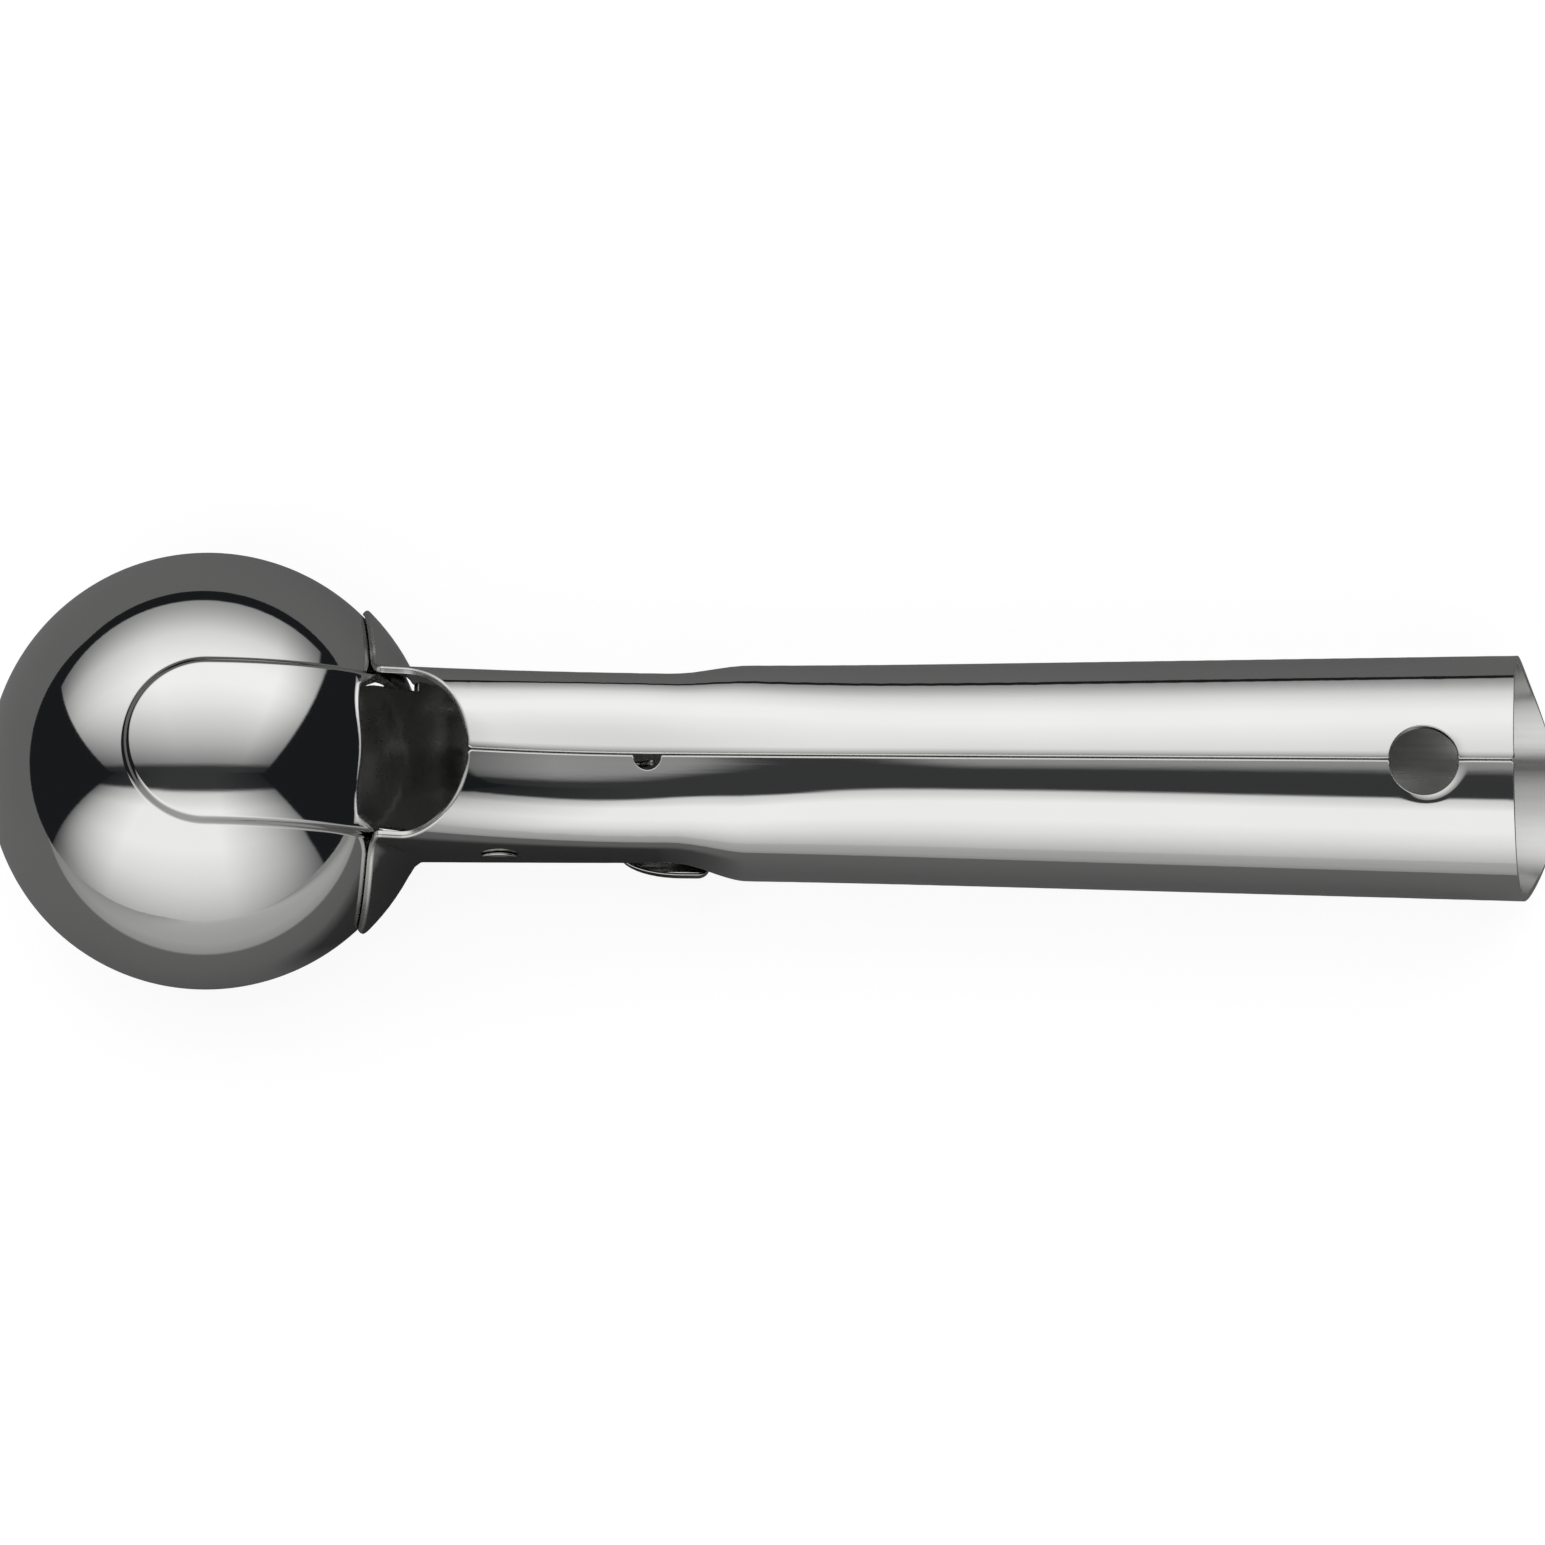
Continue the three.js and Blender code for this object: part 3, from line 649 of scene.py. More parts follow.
def handle_outline():
    seam = SEAM_GAP / 2 + SEAM_EDGE
    # Middle, half length, depth and spacing of what is cut into the seam's edges
    hole = (HOLE_X, HOLE_CUT, HOLE_CUT, 0.07)
    notch = (NOTCH_MIDDLE, NOTCH_HALF_LENGTH + BACK_EDGE, NOTCH_DEPTH + BACK_EDGE, 0.12)

    def seam_edge(side):
        """One edge of the seam from the open end to the cut-out, and the half of the cut-out beside it."""
        run = []
        place = GRIP_END - END_SLANT
        for middle, half, deep, spacing in (hole,) if side > 0 else (hole, notch):
            swing = asin(seam / deep)
            run += along_x(place, middle + half * cos(swing), seam, spacing=1.5)
            run += arc(middle, 0, half, deep, steps(swing, pi - swing, spacing)[1:-1])
            place = middle - half * cos(swing)
        wide = CUTOUT_HALF_WIDTH + FRONT_EDGE
        swing = asin(seam / wide)
        reach = CUTOUT_TIP - CUTOUT_STRAIGHT + FRONT_EDGE
        run += along_x(place, CUTOUT_STRAIGHT + reach * cos(swing), seam, spacing=1.2)
        cutout = arc(CUTOUT_STRAIGHT, 0, reach, wide, steps(swing, pi / 2, spacing=0.04))
        corner = COLLAR_FRONT + COLLAR_LEAN * CUTOUT_CORNER_LEVEL
        cutout += along_x(CUTOUT_STRAIGHT, corner, wide, spacing=0.4)[1:]
        return [at_y(x, side * y) for x, y in run], [at_y(x, side * y) for x, y in cutout]

    right_seam, right_cutout = seam_edge(1)
    left_seam, left_cutout = seam_edge(-1)
    corner_turn = right_cutout[-1][1] / ROLL_SCALE
    foot_x = COLLAR_FRONT + COLLAR_LEAN * COLLAR_FOOT
    foot_turn = at_z(foot_x, COLLAR_FOOT)[1] / ROLL_SCALE
    front = [collar_front(t) for t in steps(corner_turn, foot_turn, spacing=0.03)]
    right_cutout[-1] = front[0]
    left_cutout[-1] = mirrored(front)[-1]
    cheek = [at_z(x, cheek_level(x)) for x in steps(front[-1][0], ROUND_START, spacing=0.8)]
    turns = steps(pi / 2, 0, spacing=0.09)[1:]
    cheek += [at_z(*p) for p in arc(ROUND_START, CHEEK_EDGE - SLOT_ROUND, SLOT_ROUND, SLOT_ROUND, turns)]
    slot_end = [(SLOT_END, v) for v in steps(cheek[-1][1], BLANK_WIDTH - cheek[-1][1], spacing=0.9)]
    first = right_seam[0][1] / ROLL_SCALE
    end = []
    for turn in steps(2 * pi - first, first, spacing=0.05):
        x = GRIP_END
        for _ in range(SETTLING):
            x = handle_end_x(handle_point(x, turn).z)
        end.append((x, turn * ROLL_SCALE))
    right_seam[0] = end[-1]
    left_seam[0] = end[0]
    side = [right_seam, right_cutout, front, cheek]
    other = [mirrored(cheek), mirrored(front), left_cutout[::-1], left_seam[::-1]]
    corners = [SEAM_CORNER, TAB_CORNER, FOOT_CORNER, SLOT_CORNER]
    return joined(*side, slot_end, *other, end, corners=[*corners, *corners[::-1], END_CORNER, END_CORNER])


def handle_creases():
    """Lines along which the handle's form changes: beside the seam and round the hanging hole."""
    lines = []
    for side in (1, -1):
        for y in (0.6 * SEAM_ROLL_WIDTH, SEAM_ROLL_WIDTH) + BACK_LINES:
            lines.append([at_y(x, side * y) for x in steps(CUTOUT_TIP, GRIP_END, spacing=0.8)])
    clear = 0.02  # of the seam, as a share of the radius
    for share in (0.25, 0.5, 0.75, 1.0):
        r = HOLE_CUT + share * HOLE_ROLL_WIDTH
        lines.append([at_y(x, y) for x, y in circle(HOLE_X, 0, r, spacing=0.06) if abs(y / r) > clear])
    return lines


# The bowl's form, drawn on a blank that spreads the ball about its apex
def channel_depth_in(x, y):
    """How far a place lies inside the channel's outline."""
    return CHANNEL_HALF_WIDTH - hypot(min(0.0, x - CHANNEL_CENTRE), y)


def bowl_radius(x, y):
    share = (x + CHANNEL_HALF_WIDTH) / (CHANNEL_LENGTH + CHANNEL_HALF_WIDTH)
    rise = between(CHANNEL_RISE, CHANNEL_END_RISE, share)
    rise *= 1 - smooth_step(CORNER_END, CORNER_END + CHANNEL_CORNER, x)
    return BOWL_RADIUS + rise * smooth_step(-CHANNEL_STEP / 2, CHANNEL_STEP / 2, channel_depth_in(x, y))


def bowl_skin(u, v):
    spread = hypot(u, v)
    tilt = spread / BOWL_RADIUS
    flat = sin(tilt) / spread if spread > 1e-6 else 1 / BOWL_RADIUS
    way = Vector((u * flat, v * flat, cos(tilt)))
    place = way * bowl_radius(way.x * BOWL_RADIUS, way.y * BOWL_RADIUS)
    if abs(place.y) < WINDOW_CORNER_WIDTH:
        to_end = channel_end(place.y) - place.x
        if -LIP_WIDTH < to_end < LIP_WIDTH:
            place += way * LIP_RISE * (1 - to_end / LIP_WIDTH) ** 2
    return place


def on_bowl_blank(x, y, radius=None):
    """The blank's coordinates of the place at this X and Y, on a ball of this radius or else on the bowl."""
    across = hypot(x, y)
    spread = BOWL_RADIUS * asin(min(1.0, across / (radius or bowl_radius(x, y))))
    return x / across * spread, y / across * spread


def bowl_creases():
    """Lines along the channel's step and along the lip of its end."""
    lines = []
    for share in (-0.5, -0.3, -0.1, 0.1, 0.3, 0.5):
        half = CHANNEL_HALF_WIDTH + share * CHANNEL_STEP
        side = along_x(CORNER_END, CHANNEL_CENTRE, half, spacing=0.35)
        run = side + [(x, -y) for x, y in side]
        run += arc(CHANNEL_CENTRE, 0, half, half, steps(pi / 2, 1.5 * pi, spacing=0.035)[1:-1])
        lines.append([on_bowl_blank(x, y, BOWL_RADIUS) for x, y in run])
    for share in (0.4, 0.7, 1.0):
        ys = steps(-CHANNEL_FLARE_FROM, CHANNEL_FLARE_FROM, spacing=0.4)
        lines.append([on_bowl_blank(channel_end(y) - share * LIP_WIDTH, y) for y in ys])
    return lines


def channel_end(y):
    """X of the channel's wavy rear end."""
    wave = CHANNEL_WAVE * cos(pi * y / CHANNEL_HALF_WAVE)
    flare_end = WINDOW_CORNER_WIDTH + CHANNEL_FLARE_PAST
    return CHANNEL_LENGTH + wave + CHANNEL_CORNER * smooth_step(CHANNEL_FLARE_FROM, flare_end, abs(y))


def bowl_window():
    front = [(channel_end(y), y) for y in steps(-WINDOW_CORNER_WIDTH, WINDOW_CORNER_WIDTH, spacing=0.5)]
    sill = sqrt(BOWL_RADIUS ** 2 - WINDOW_SILL ** 2)
    sill_x = sqrt(sill ** 2 - WINDOW_HALF_WIDTH ** 2)
    corner_x = front[-1][0]
    side = [
        (x, between(WINDOW_CORNER_WIDTH, WINDOW_HALF_WIDTH, smooth_step(corner_x, sill_x, x)))
        for x in steps(corner_x, sill_x, spacing=0.5)
    ]
    swing = asin(WINDOW_HALF_WIDTH / sill)
    rear = arc(0, 0, sill, sill, steps(swing, -swing, spacing=0.03))
    other = [(x, -y) for x, y in reversed(side)]
    runs = [[on_bowl_blank(x, y) for x, y in run] for run in (front, side, rear, other)]
    return joined(*runs, corners=[WINDOW_ROUND] * len(runs))


# The lever's forms
TAIL_TOP = Vector((sqrt((TONGUE_RADIUS - TONGUE_SHEET / 2) ** 2 - TAIL_HEIGHT ** 2), TAIL_HEIGHT))
LAP_OFFSET = TONGUE_SHEET / 2 + WELD_GAP + LEVER_SHEET / 2
FOOT_LEVEL = FLOOR_LEVEL + LEVER_SHEET + WELD_GAP + LEVER_SHEET / 2
TAIL_TO_HEEL = Vector((HEEL_X, FOOT_LEVEL)) - TAIL_TOP
SLOPE = atan2(-TAIL_TO_HEEL.y, TAIL_TO_HEEL.x) + asin(LAP_OFFSET / TAIL_TO_HEEL.length)
DOWN = Vector((cos(SLOPE), 0, -sin(SLOPE)))
UP = Vector((sin(SLOPE), 0, cos(SLOPE)))
HEEL = Vector((HEEL_X, 0, FOOT_LEVEL))
BEND_SETBACK = LEG_BEND * tan(SLOPE / 2)  # of the bend from the arm's slope to its level foot
BEND_ARC = LEG_BEND * SLOPE
BEND_START = HEEL - DOWN * BEND_SETBACK
EAR_INNER = EAR_BEND - LEVER_SHEET
TAIL_CHORD = UP.dot((TAIL_TOP.x, 0, TAIL_TOP.y)) * UP.x  # middle of the tail's plane inside the ball


def both_sides(front, half, rear, corner):
    """An outline that is the same on both sides, from its front, the runs of one side and its rear."""
    other = [[(u, -v) for u, v in reversed(run)] for run in reversed(half)]
    runs = [front, *half, rear, *other]
    return joined(*runs, corners=[corner] * len(runs))


def tongue_skin(x, y):
    tail = TAIL_TOP.y - (x - TAIL_TOP.x) * tan(SLOPE) + TONGUE_SHEET / 2 / cos(SLOPE)
    ball = TONGUE_RADIUS ** 2 - x * x - y * y
    if ball <= 0:
        return Vector((x, y, tail))
    if x < TAIL_CHORD:
        return Vector((x, y, sqrt(ball)))
    return Vector((x, y, smooth_larger(sqrt(ball), tail, TAIL_BEND)))


def tongue_outline():
    wide = TONGUE_HALF_WIDTH - SHEET_EDGE
    shield = SHIELD_HALF_WIDTH - SHEET_EDGE
    tail = TAIL_HALF_WIDTH - SHEET_EDGE
    front = arc(CHANNEL_CENTRE, 0, wide, wide, steps(1.5 * pi, pi / 2, spacing=0.05))
    flare = TONGUE_FLARE_WIDTH - SHEET_EDGE
    side = [
        (x, between(wide, flare, smooth_step(CHANNEL_LENGTH, CORNER_END, x)))
        for x in steps(CHANNEL_CENTRE, SHIELD_FRONT, spacing=0.45)
    ]
    half = [
        side,
        [(SHIELD_FRONT, flare), (SHIELD_FRONT, shield)],
        along_x(SHIELD_FRONT, SHIELD_REAR, shield, spacing=0.5),
        [(SHIELD_REAR, y) for y in steps(shield, tail, spacing=0.4)],
        along_x(SHIELD_REAR, TAIL_REAR, tail, spacing=0.8),
    ]
    rear = [(TAIL_REAR, y) for y in steps(tail, -tail, spacing=0.8)]
    return both_sides(front, half, rear, TONGUE_CORNER)


def arm_place(u):
    """Upper face of the arm's strip at this run along it, and its upward way. Zero is at the heel."""
    if u <= -BEND_ARC / 2:
        return BEND_START + DOWN * (u + BEND_ARC / 2) + UP * (LEVER_SHEET / 2), UP
    if u >= BEND_ARC / 2:
        flat = HEEL + Vector((BEND_SETBACK + u - BEND_ARC / 2, 0, 0))
        return flat + Vector((0, 0, LEVER_SHEET / 2)), Vector((0, 0, 1))
    swing = SLOPE - (u + BEND_ARC / 2) / LEG_BEND
    up = Vector((sin(swing), 0, cos(swing)))
    return BEND_START + UP * LEG_BEND - up * (LEG_BEND - LEVER_SHEET / 2), up


def arm_skin(u, v):
    place, up = arm_place(u)
    bend_from = ARM_HALF_WIDTH - EAR_BEND
    size = abs(v)
    if size <= bend_from:
        return place + Vector((0, v, 0))
    turn = min(pi / 2, (size - bend_from) / EAR_INNER)
    rise = EAR_INNER * (1 - cos(turn)) + max(0.0, size - bend_from - EAR_INNER * pi / 2)
    y = bend_from + EAR_INNER * sin(turn)
    return place + Vector((0, copysign(y, v), 0)) + up * rise


def arm_run_at(x):
    """Run along the arm's straight part at a given X of its middle line."""
    return (x - BEND_START.x) / cos(SLOPE) - BEND_ARC / 2


def ear_blank():
    """Where the pin's axis lies on the blank: run along the arm, and distance across it."""
    to_pin = Vector((PIN_X, 0, PIN_Z)) - (BEND_START + UP * (LEVER_SHEET / 2))
    across = ARM_HALF_WIDTH - EAR_BEND + EAR_INNER * pi / 2 + to_pin.dot(UP) - EAR_INNER
    return to_pin.dot(DOWN) - BEND_ARC / 2, across


def arm_outline():
    edge = SHEET_EDGE
    pin_u, pin_v = ear_blank()
    front = arm_run_at(ARM_FRONT) + edge
    rear = FOOT_LENGTH + (BEND_ARC / 2 - BEND_SETBACK) - edge
    leg = LEG_HALF_WIDTH - edge
    flat_side = ARM_HALF_WIDTH - EAR_BEND - edge
    round_r = EAR_RADIUS - edge
    ear_front = front + EAR_SETBACK
    ear_rear = arm_run_at(PIN_X + EAR_RADIUS + EAR_FLARE)
    leg_front = ear_rear + SHOULDER_RUN
    root_front, root_rear = flat_side + EAR_FRONT_ROOT, flat_side + EAR_REAR_ROOT
    half = [
        [(front, flat_side), (ear_front, root_front)],
        straight((ear_front, root_front), (pin_u - round_r, pin_v), spacing=0.05),
        arc(pin_u, pin_v, round_r, round_r, steps(pi, 0, spacing=0.1)),
        straight((pin_u + round_r, pin_v), (ear_rear, root_rear), spacing=0.05),
        [(ear_rear, root_rear), (leg_front, leg)],
        along_x(leg_front, rear, leg, spacing=0.6),
    ]
    front_run = [(front, v) for v in steps(-flat_side, flat_side, spacing=0.8)]
    rear_run = [(rear, v) for v in steps(leg, -leg, spacing=0.8)]
    return both_sides(front_run, half, rear_run, ARM_CORNER)


def pad_skin(x, y):
    curl = PAD_HALF_WIDTH - PAD_FLAT_HALF_WIDTH
    radius = (curl ** 2 + PAD_EDGE_RISE ** 2) / (2 * PAD_EDGE_RISE)
    upright = radius * 0.999  # just short of where the curl would stand on edge
    past = min(upright, max(0.0, abs(y) - PAD_FLAT_HALF_WIDTH))
    return Vector((x, y, FLOOR_LEVEL + radius - sqrt(radius ** 2 - past ** 2)))


def pad_outline():
    long, wide, corner = PAD_TAPER_LENGTH, PAD_TAPER_WIDTH, PAD_REAR_CORNER
    front, rear, half = PAD_FRONT + PAD_EDGE, PAD_REAR - PAD_EDGE, PAD_HALF_WIDTH - PAD_EDGE
    loop = []
    for x, y, run, width, start in (
        (front + long, -half + wide, long, wide, pi),
        (rear - corner, -half + corner, corner, corner, 1.5 * pi),
        (rear - corner, half - corner, corner, corner, 0.0),
        (front + long, half - wide, long, wide, 0.5 * pi),
    ):
        loop += arc(x, y, run, width, [start + a for a in steps(0, pi / 2, spacing=0.13)])
    spacing = 0.7
    dense = []
    for a, b in zip(loop, loop[1:] + loop[:1]):
        dense += straight(a, b, 1 / max(1, round(dist(a, b) / spacing)))[:-1]
    return dense


# The return spring's middle line
def spring_path():
    start_turn = pi / 2 + FIXED_LEG_RISE
    end_turn = 1.5 * pi - MOVING_LEG_DROP + 2 * pi * COIL_TURNS
    per_turn = COIL_PITCH / (2 * pi)
    start_y = -per_turn * (end_turn - start_turn) / 2

    def coil(turn):
        return Vector((
            PIN_X + COIL_RADIUS * cos(turn),
            start_y + per_turn * (turn - start_turn),
            PIN_Z + COIL_RADIUS * sin(turn),
        ))

    under_back = GRIP_BACK - HANDLE_SHEET - WIRE_RADIUS - SPRING_GAP
    hook = Vector((NOTCH_MIDDLE, -NOTCH_DEPTH / 2, under_back))
    first = coil(start_turn)
    run = (under_back - first.z) / tan(FIXED_LEG_RISE)
    knee_y = start_y + (hook.y - start_y) * run / (hook.x - first.x)
    corners = [
        hook + Vector((HOOK_RUN / 2, 0, HOOK_RISE)),
        hook + Vector((-HOOK_RUN / 2, 0, 0)),
        Vector((first.x + run, knee_y, under_back)),
        first,
    ]
    points = [corners[0]]
    for before, corner, after, size in zip(corners, corners[1:], corners[2:], (HOOK_BEND, KNEE_BEND)):
        into = (corner - before).normalized()
        out = (after - corner).normalized()
        points += rounded(corner - into * size, corner, corner + out * size, steps(0, 1, spacing=0.12))
    points += [coil(t) for t in steps(start_turn, end_turn, spacing=0.13)]
    leave = points[-1]
    above = (leave - HEEL).dot(UP)
    bearing = LEVER_SHEET / 2 + SPRING_GAP + WIRE_RADIUS
    length = (above - bearing) / sin(MOVING_LEG_DROP - SLOPE)
    way = Vector((cos(MOVING_LEG_DROP), 0, -sin(MOVING_LEG_DROP)))
    points += [leave + way * (length * k) for k in steps(0.25, 1, spacing=0.25)]
    return points


def wire_piece(name, path, radius, materials):
    """A round wire along a path, with rounded ends."""

    def end(place, inner):
        out = (place - inner).normalized()
        return [(place + out * radius * sin(a) * WIRE_END_SHARE, radius * cos(a)) for a in WIRE_END_TURNS]

    stations = end(path[0], path[1])[::-1] + [(p, radius) for p in path] + end(path[-1], path[-2])
    side = Vector((0, 1, 0))
    points = []
    for i, (place, r) in enumerate(stations):
        way = (stations[min(i + 1, len(stations) - 1)][0] - stations[max(i - 1, 0)][0]).normalized()
        side = (side - way * side.dot(way)).normalized()
        other = way.cross(side)
        for turn in turns_round(WIRE_SIDES):
            points.append(place + side * r * cos(turn) + other * r * sin(turn))
    return new_piece(name, points, ring_faces(len(stations), WIRE_SIDES), materials)


# Finishes
def linear(colour):
    channels = [int(colour[i:i + 2], 16) / 255 for i in (1, 3, 5)]
    return [c / 12.92 if c <= 0.04045 else ((c + 0.055) / 1.055) ** 2.4 for c in channels] + [1.0]


def add(tree, kind, sockets=None, **settings):
    node = tree.nodes.new("ShaderNode" + kind)
    for name, value in settings.items():
        setattr(node, name, value)
    for name, value in (sockets or {}).items():
        if isinstance(value, bpy.types.NodeSocket):
            tree.links.new(value, node.inputs[name])
        else:
            node.inputs[name].default_value = value
    return node


def combined(tree, operation, *values):
    return add(tree, "Math", dict(enumerate(values)), operation=operation).outputs[0]


def mixed(tree, share, colour, other):
    return add(tree, "Mix", {0: share, 6: colour, 7: other}, data_type="RGBA").outputs[2]


def noise(tree, place, size, detail):
    """Noise in object space, which is in metres, with features of about this many millimetres."""
    sockets = {"Vector": place, "Scale": 1 / (size * MM), "Detail": detail}
    return add(tree, "TexNoise", sockets).outputs["Fac"]


PATCH_SIZE = 22.0  # width of the brighter and duller patches of a finish
GRIT_DEPTH = 0.002  # depth of its marks, of their width
UNEVEN = (0.1, 0.45)  # range of the marks times the patches over which the roughness changes


def steel_finish(name, bright, dull, roughness, grit, sway, sway_depth, streak=1.0):
    """Stainless steel. bright and dull are its patches, grit is the width of its marks and streak how much
    longer than wide they are. sway is the width of the slow waves that pressing leaves in the sheet."""
    material = bpy.data.materials.new(name)
    material.use_nodes = True
    tree = material.node_tree
    shader = tree.nodes["Principled BSDF"]
    shader.inputs["Metallic"].default_value = 1.0
    place = add(tree, "TexCoord").outputs["Object"]
    streaked = add(tree, "Mapping", {"Vector": place, "Scale": (1 / streak, 1.0, 1.0)}).outputs["Vector"]
    marks = noise(tree, streaked, grit, detail=3.0)
    patches = noise(tree, place, PATCH_SIZE, detail=4.0)
    waves = noise(tree, place, sway, detail=0.0)
    tree.links.new(mixed(tree, patches, linear(bright), linear(dull)), shader.inputs["Base Color"])
    rough = add(tree, "MapRange", {
        "Value": combined(tree, "MULTIPLY", marks, patches),
        "From Min": UNEVEN[0], "From Max": UNEVEN[1], "To Min": roughness[0], "To Max": roughness[1],
    })
    tree.links.new(rough.outputs["Result"], shader.inputs["Roughness"])
    swell = add(tree, "Bump", {"Height": waves, "Strength": 1.0, "Distance": sway_depth * MM})
    scratch = add(tree, "Bump", {
        "Height": marks, "Strength": 1.0, "Distance": grit * GRIT_DEPTH * MM,
        "Normal": swell.outputs["Normal"],
    })
    tree.links.new(scratch.outputs["Normal"], shader.inputs["Normal"])
    return material


# Stainless steel buffed to a mirror: clear reflections, faint marks along the handle and slow pressed waves
buffed_steel = steel_finish(
    "buffed_stainless_steel", "#cfcfcd", "#c8c8c7",
    roughness=(0.03, 0.06), grit=0.35, sway=16.0, sway_depth=0.012, streak=12.0,
)
# The same sheet as it was rolled, inside the handle: satin, with soft reflections
milled_steel = steel_finish(
    "mill_finished_stainless_steel", "#bfbfbd", "#b4b4b3",
    roughness=(0.20, 0.30), grit=0.6, sway=14.0, sway_depth=0.004, streak=20.0,
)
# Stainless steel tumbled after pressing, on the lever's hidden sheets: satin, so it mirrors only soft shapes
tumbled_steel = steel_finish(
    "tumbled_stainless_steel", "#bcbcba", "#aeaead",
    roughness=(0.26, 0.36), grit=0.5, sway=9.0, sway_depth=0.006,
)
# Cut edges of the sheets, ground after shearing: dull, so that they catch light from all round
ground_edge = steel_finish(
    "ground_stainless_edge", "#c4c4c2", "#b8b8b6",
    roughness=(0.22, 0.32), grit=0.3, sway=5.0, sway_depth=0.004,
)
# Turned stainless steel of the pin and washers: a half gloss with fine even marks
turned_steel = steel_finish(
    "turned_stainless_steel", "#c2c1bd", "#adaca8",
    roughness=(0.10, 0.20), grit=0.25, sway=3.0, sway_depth=0.004,
)
# Hard drawn spring wire, duller and streaked along the handle; its darker colour is painted shade for the
# dark inside the handle
shade_painted_wire = steel_finish(
    "spring_wire_painted_shade", "#8b8a88", "#6c6b6a",
    roughness=(0.18, 0.30), grit=0.2, sway=2.0, sway_depth=0.004, streak=8.0,
)


# Pieces
def fit(piece, node, body):
    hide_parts(node)
    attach(piece, body)


def handle_steps(u):
    fine, coarse = 0.75, 1.6
    return fine if u < CUTOUT_TIP else coarse


pin_hole = [at_z(*place) for place in circle(PIN_X, PIN_Z, PIN_HOLE_RADIUS + BACK_EDGE, spacing=0.25)]
handle_shell = sheet_piece(
    "handle_sheet", handle_skin, [handle_outline(), pin_hole, mirrored(pin_hole)], HANDLE_SHEET,
    step_at=handle_steps, materials=[buffed_steel, milled_steel, ground_edge],
    edge=handle_edge, creases=handle_creases(),
)
fit(handle_shell, "handle_shell", "handle")

rim_spread = BOWL_RADIUS * pi / 2 - BOWL_RIM_EDGE
bowl = sheet_piece(
    "bowl_sheet", bowl_skin, [circle(0, 0, rim_spread, spacing=0.025), bowl_window()], BOWL_SHEET,
    step_at=0.9, materials=[buffed_steel, buffed_steel, ground_edge],
    edge=BOWL_RIM_EDGE, creases=bowl_creases(),
)
fit(bowl, "bowl", "handle")

lever_steel = [tumbled_steel, tumbled_steel, ground_edge]
tongue = sheet_piece(
    "tongue_sheet", tongue_skin, [tongue_outline()], TONGUE_SHEET,
    step_at=0.8, materials=lever_steel,
)
fit(tongue, "ejector_tongue", "lever")

ear_hole = circle(*ear_blank(), PIN_HOLE_RADIUS + SHEET_EDGE, spacing=0.2)
other_hole = [(u, -v) for u, v in ear_hole]
arm = sheet_piece(
    "arm_sheet", arm_skin, [arm_outline(), ear_hole, other_hole], LEVER_SHEET,
    step_at=0.7, materials=lever_steel,
)
fit(arm, "lever_arm", "lever")

pad = sheet_piece(
    "thumb_plate", pad_skin, [pad_outline()], LEVER_SHEET,
    step_at=0.9, facing=-1, materials=[buffed_steel] * 3, edge=PAD_EDGE,
)
fit(pad, "thumb_pad", "lever")

shank_end = PIN_FAR_END - PIN_CHAMFER
shank = [(PIN_FAR_END, PIN_RADIUS - PIN_CHAMFER), (shank_end, PIN_RADIUS), (-PIN_NEAR_END, PIN_RADIUS)]
fit(turned_piece("pin_shank", shank, [turned_steel]), "pivot_pin", "handle")
fit(peened_head("pin_head", [turned_steel]), "pivot_pin", "handle")

for side, node in ((1, "washer_left"), (-1, "washer_right")):
    near, away = WASHER_NEAR, WASHER_NEAR + WASHER_THICKNESS
    bore, rim, soft = PIN_HOLE_RADIUS, WASHER_RADIUS, WASHER_ROUND
    in_face, in_rim = WASHER_BREAK
    ring = [
        (near, bore + soft), (near, rim - soft), (near + in_face, rim - in_rim), (near + soft, rim),
        (away - soft, rim), (away - in_face, rim - in_rim), (away, rim - soft), (away, bore + soft),
        (away - soft, bore), (near + soft, bore), (near, bore + soft),
    ]
    washer = turned_piece(node + "_ring", [(side * y, r) for y, r in ring][::-side], [turned_steel])
    fit(washer, node, "handle")

# The spring's darker colour is painted shade
spring = wire_piece("spring_wire", spring_path(), WIRE_RADIUS, [shade_painted_wire])
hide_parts("return_spring")
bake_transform(spring)

# Camera, nearly overhead
VIEW_TILT = radians(8.8)
VIEW_ROLL = radians(0.35)
VIEW_DISTANCE = 0.9
to_camera = Vector((0, -sin(VIEW_TILT), cos(VIEW_TILT)))
image_up = Vector((0, cos(VIEW_TILT), sin(VIEW_TILT)))
image_right = Vector((1, 0, 0))
up = image_up * cos(VIEW_ROLL) - image_right * sin(VIEW_ROLL)
right = up.cross(to_camera)
aim = Vector((-0.0007, 0.0004, bowl_low.z))
camera_data = bpy.data.cameras.new("camera")
camera_data.lens = 164.3
camera_data.sensor_width = 36.0
camera = placed("camera", camera_data)
turned = Matrix((right, up, to_camera)).transposed().to_4x4()
camera.matrix_world = Matrix.Translation(aim + to_camera * VIEW_DISTANCE) @ turned
scene.camera = camera

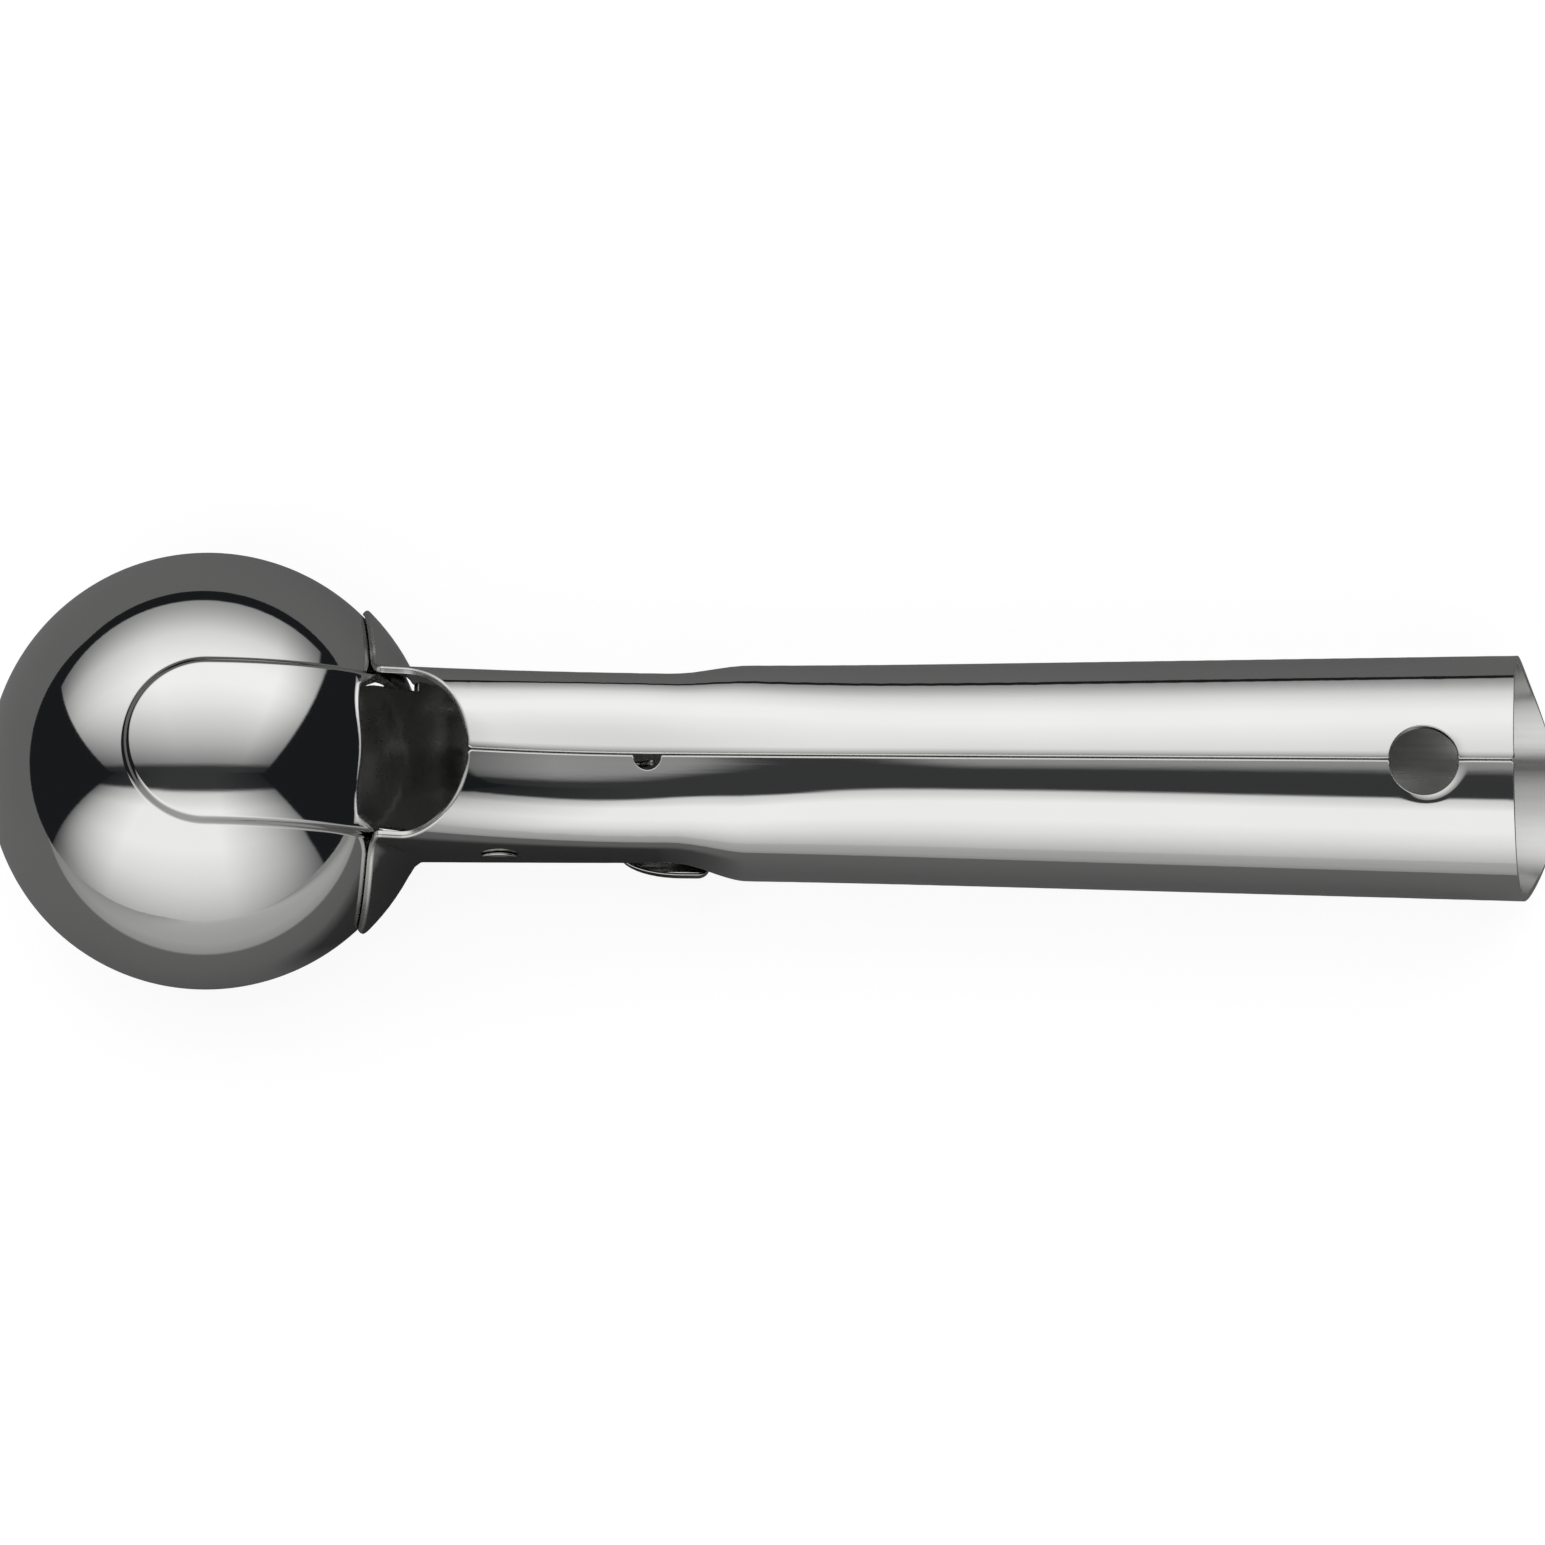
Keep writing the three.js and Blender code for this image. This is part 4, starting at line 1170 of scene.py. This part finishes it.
# Studio: a long flat softbox on each side of the camera, tilted like the halves of a roof, and dark beyond
SOFTBOX_GLOW = [  # degrees from the camera towards the picture's top, and how bright the softboxes are there
    (-112, 0.0), (-110, 0.5), (-92, 0.57), (-80, 0.78), (-60, 1.12), (-41, 1.35), (-20, 1.35), (-15, 1.12),
    (-10.5, 0.95), (-8.8, 0.04), (2.8, 0.04), (5.0, 0.36), (14, 0.68), (22, 0.91), (36, 1.25), (46, 1.4),
    (56, 1.4), (68, 1.24), (78, 1.06), (90, 0.67), (96, 0.51), (101.5, 0.4), (102, 0.0),
]
GLOW_FULL = 1.4
UPPER_TILT = radians(61)  # direction in which the upper softbox faces, from the camera
# Brightness along it, by shares of its distance
UPPER_LENGTH = [(-2.3, 0.0), (-2.24, 0.42), (-0.4, 1.0), (0.6, 1.0), (1.15, 0.5), (1.2, 0.0)]
LOWER_TILT = radians(-68)
LOWER_LENGTH = [(-2.65, 0.0), (-2.55, 0.15), (-0.85, 1.0), (0.2, 1.0), (1.3, 0.22), (1.36, 0.0)]
STUDIO_DARK = (0.015, 0.016, 0.018)

world = bpy.data.worlds.new("studio")
scene.world = world
world.use_nodes = True
sky = world.node_tree
sky.nodes.clear()


def measure(tree, way, direction):
    """How far a way leads in a direction."""
    return add(tree, "VectorMath", {0: way, 1: direction}, operation="DOT_PRODUCT").outputs["Value"]


def graded(tree, value, stops, full=1.0):
    """The level that goes with a value, from stops of (value, level) with levels up to full."""
    first, last = stops[0][0], stops[-1][0]
    share = add(tree, "MapRange", {"Value": value, "From Min": first, "From Max": last})
    node = add(tree, "ValToRGB", {"Fac": share.outputs["Result"]})
    ramp = node.color_ramp
    while len(ramp.elements) < len(stops):
        ramp.elements.new(1.0)
    for element, (at, level) in zip(ramp.elements, stops):
        element.position = (at - first) / (last - first)
        element.color = [level / full] * 3 + [1.0]
    return combined(tree, "MULTIPLY", node.outputs["Color"], full)


def softbox_length(tree, way, tilt, stops):
    """How bright a softbox is where a direction meets it, by the place along its length."""
    ahead = measure(tree, way, to_camera * cos(tilt) + image_up * sin(tilt))
    return graded(tree, combined(tree, "DIVIDE", measure(tree, way, image_right), ahead), stops)


way = add(sky, "TexCoord").outputs["Generated"]
turn = combined(sky, "ARCTAN2", measure(sky, way, image_up), measure(sky, way, to_camera))
glow = graded(sky, combined(sky, "DEGREES", turn), SOFTBOX_GLOW, GLOW_FULL)
lit = add(sky, "Mix", {
    0: combined(sky, "GREATER_THAN", turn, 0.0),
    2: softbox_length(sky, way, LOWER_TILT, LOWER_LENGTH),
    3: softbox_length(sky, way, UPPER_TILT, UPPER_LENGTH),
}, data_type="FLOAT").outputs[0]
softboxes = combined(sky, "MULTIPLY", glow, lit)
studio = add(sky, "VectorMath", {0: softboxes, 1: STUDIO_DARK}, operation="ADD").outputs[0]
seen = add(sky, "LightPath").outputs["Is Camera Ray"]
colour = mixed(sky, seen, studio, linear("#ffffff"))
background = add(sky, "Background", {"Color": colour})
add(sky, "OutputWorld", {"Surface": background.outputs["Background"]})

# Floor: pale to the camera, a mid grey in the mirror of the steel, and see-through from below
FLOOR_LEFT, FLOOR_RIGHT = -0.245, 0.6
FLOOR_FRONT, FLOOR_BACK = -0.6, 0.19
FLOOR_GREY = "#838383"
FLOOR_LIFT = 0.86
FLOOR_FRONT_SHARE = [  # of that lift in the mirror of the steel, by the distance in front of the object: a painted reflection
    (-0.6, 0.58), (-0.2, 0.455), (-0.1, 0.39), (-0.073, 0.28), (-0.069, 0.0),
]
FLOOR_WIDTH_SHARE = [(-0.3, 0.3), (-0.12, 1.0), (0.1, 1.0), (0.25, 0.4)]  # how that part fades to its sides
UNDER_COLLAR = BOWL_MIDDLE + Vector((27, 3, -FLOOR_LEVEL)) * MM  # the floor is kept dark round there: a painted shadow under the collar
SHADE_CORE = 0.014
SHADE_END = 0.021
# A soft dark patch of painted shade on the floor near the neck, which only the steel mirrors
PAINTED_SHADE_ALONG = [(-0.062, 0.0), (-0.052, 1.0), (-0.0155, 1.0), (-0.005, 0.0)]
PAINTED_SHADE_ACROSS = [(-0.043, 0.0), (-0.033, 1.0), (0.0, 1.0), (0.01, 0.0)]
PAINTED_SHADE_GREY = "#484848"
floor_mesh = bpy.data.meshes.new("floor")
floor_mesh.from_pydata([
    (FLOOR_LEFT, FLOOR_FRONT, 0), (FLOOR_RIGHT, FLOOR_FRONT, 0),
    (FLOOR_RIGHT, FLOOR_BACK, 0), (FLOOR_LEFT, FLOOR_BACK, 0),
], [], [(0, 1, 2, 3)])
floor = placed("floor", floor_mesh)
floor_paper = bpy.data.materials.new("matt_paper")
floor_paper.use_nodes = True
tree = floor_paper.node_tree
tree.nodes.clear()
path = add(tree, "LightPath")
mirrored_ray = combined(tree, "ADD", path.outputs["Is Glossy Ray"], path.outputs["Is Transmission Ray"])
floor_place = add(tree, "TexCoord").outputs["Object"]
floor_parts = add(tree, "SeparateXYZ", {"Vector": floor_place})
floor_x, floor_y = floor_parts.outputs["X"], floor_parts.outputs["Y"]
# Painted shade: a darker grey near the neck that only mirrored rays see
painted_shade_patch = combined(tree, "MULTIPLY", graded(tree, floor_x, PAINTED_SHADE_ALONG), graded(tree, floor_y, PAINTED_SHADE_ACROSS))
painted_shade_mirrored = combined(tree, "MULTIPLY", painted_shade_patch, mirrored_ray)
grey = mixed(tree, painted_shade_mirrored, linear(FLOOR_GREY), linear(PAINTED_SHADE_GREY))
paper = add(tree, "BsdfDiffuse", {"Color": grey})
# Painted reflection: the floor in front glows for mirrored rays alone
front_share = graded(tree, floor_y, FLOOR_FRONT_SHARE)
painted_front_reflection = combined(tree, "MULTIPLY", front_share, graded(tree, floor_x, FLOOR_WIDTH_SHARE))
in_mirror = combined(tree, "MULTIPLY", mirrored_ray, painted_front_reflection)
to_eye = combined(tree, "ADD", path.outputs["Is Camera Ray"], in_mirror)
# Painted shadow: the floor's lift fades out near the collar
from_shade = add(tree, "VectorMath", {0: floor_place, 1: UNDER_COLLAR}, operation="DISTANCE")
lift_outside_painted_shadow = add(tree, "MapRange", {
    "Value": from_shade.outputs["Value"], "From Min": SHADE_CORE, "From Max": SHADE_END, "To Max": FLOOR_LIFT,
}, interpolation_type="SMOOTHSTEP").outputs["Result"]
pale = add(tree, "Emission", {"Strength": combined(tree, "MULTIPLY", to_eye, lift_outside_painted_shadow)})
both = add(tree, "AddShader", {0: paper.outputs["BSDF"], 1: pale.outputs["Emission"]})
from_below = add(tree, "NewGeometry").outputs["Backfacing"]
clear = add(tree, "BsdfTransparent")
one_sided = add(tree, "MixShader", {
    0: from_below, 1: both.outputs["Shader"], 2: clear.outputs["BSDF"],
})
add(tree, "OutputMaterial", {"Surface": one_sided.outputs["Shader"]})
floor_mesh.materials.append(floor_paper)

scene.view_settings.view_transform = "Standard"
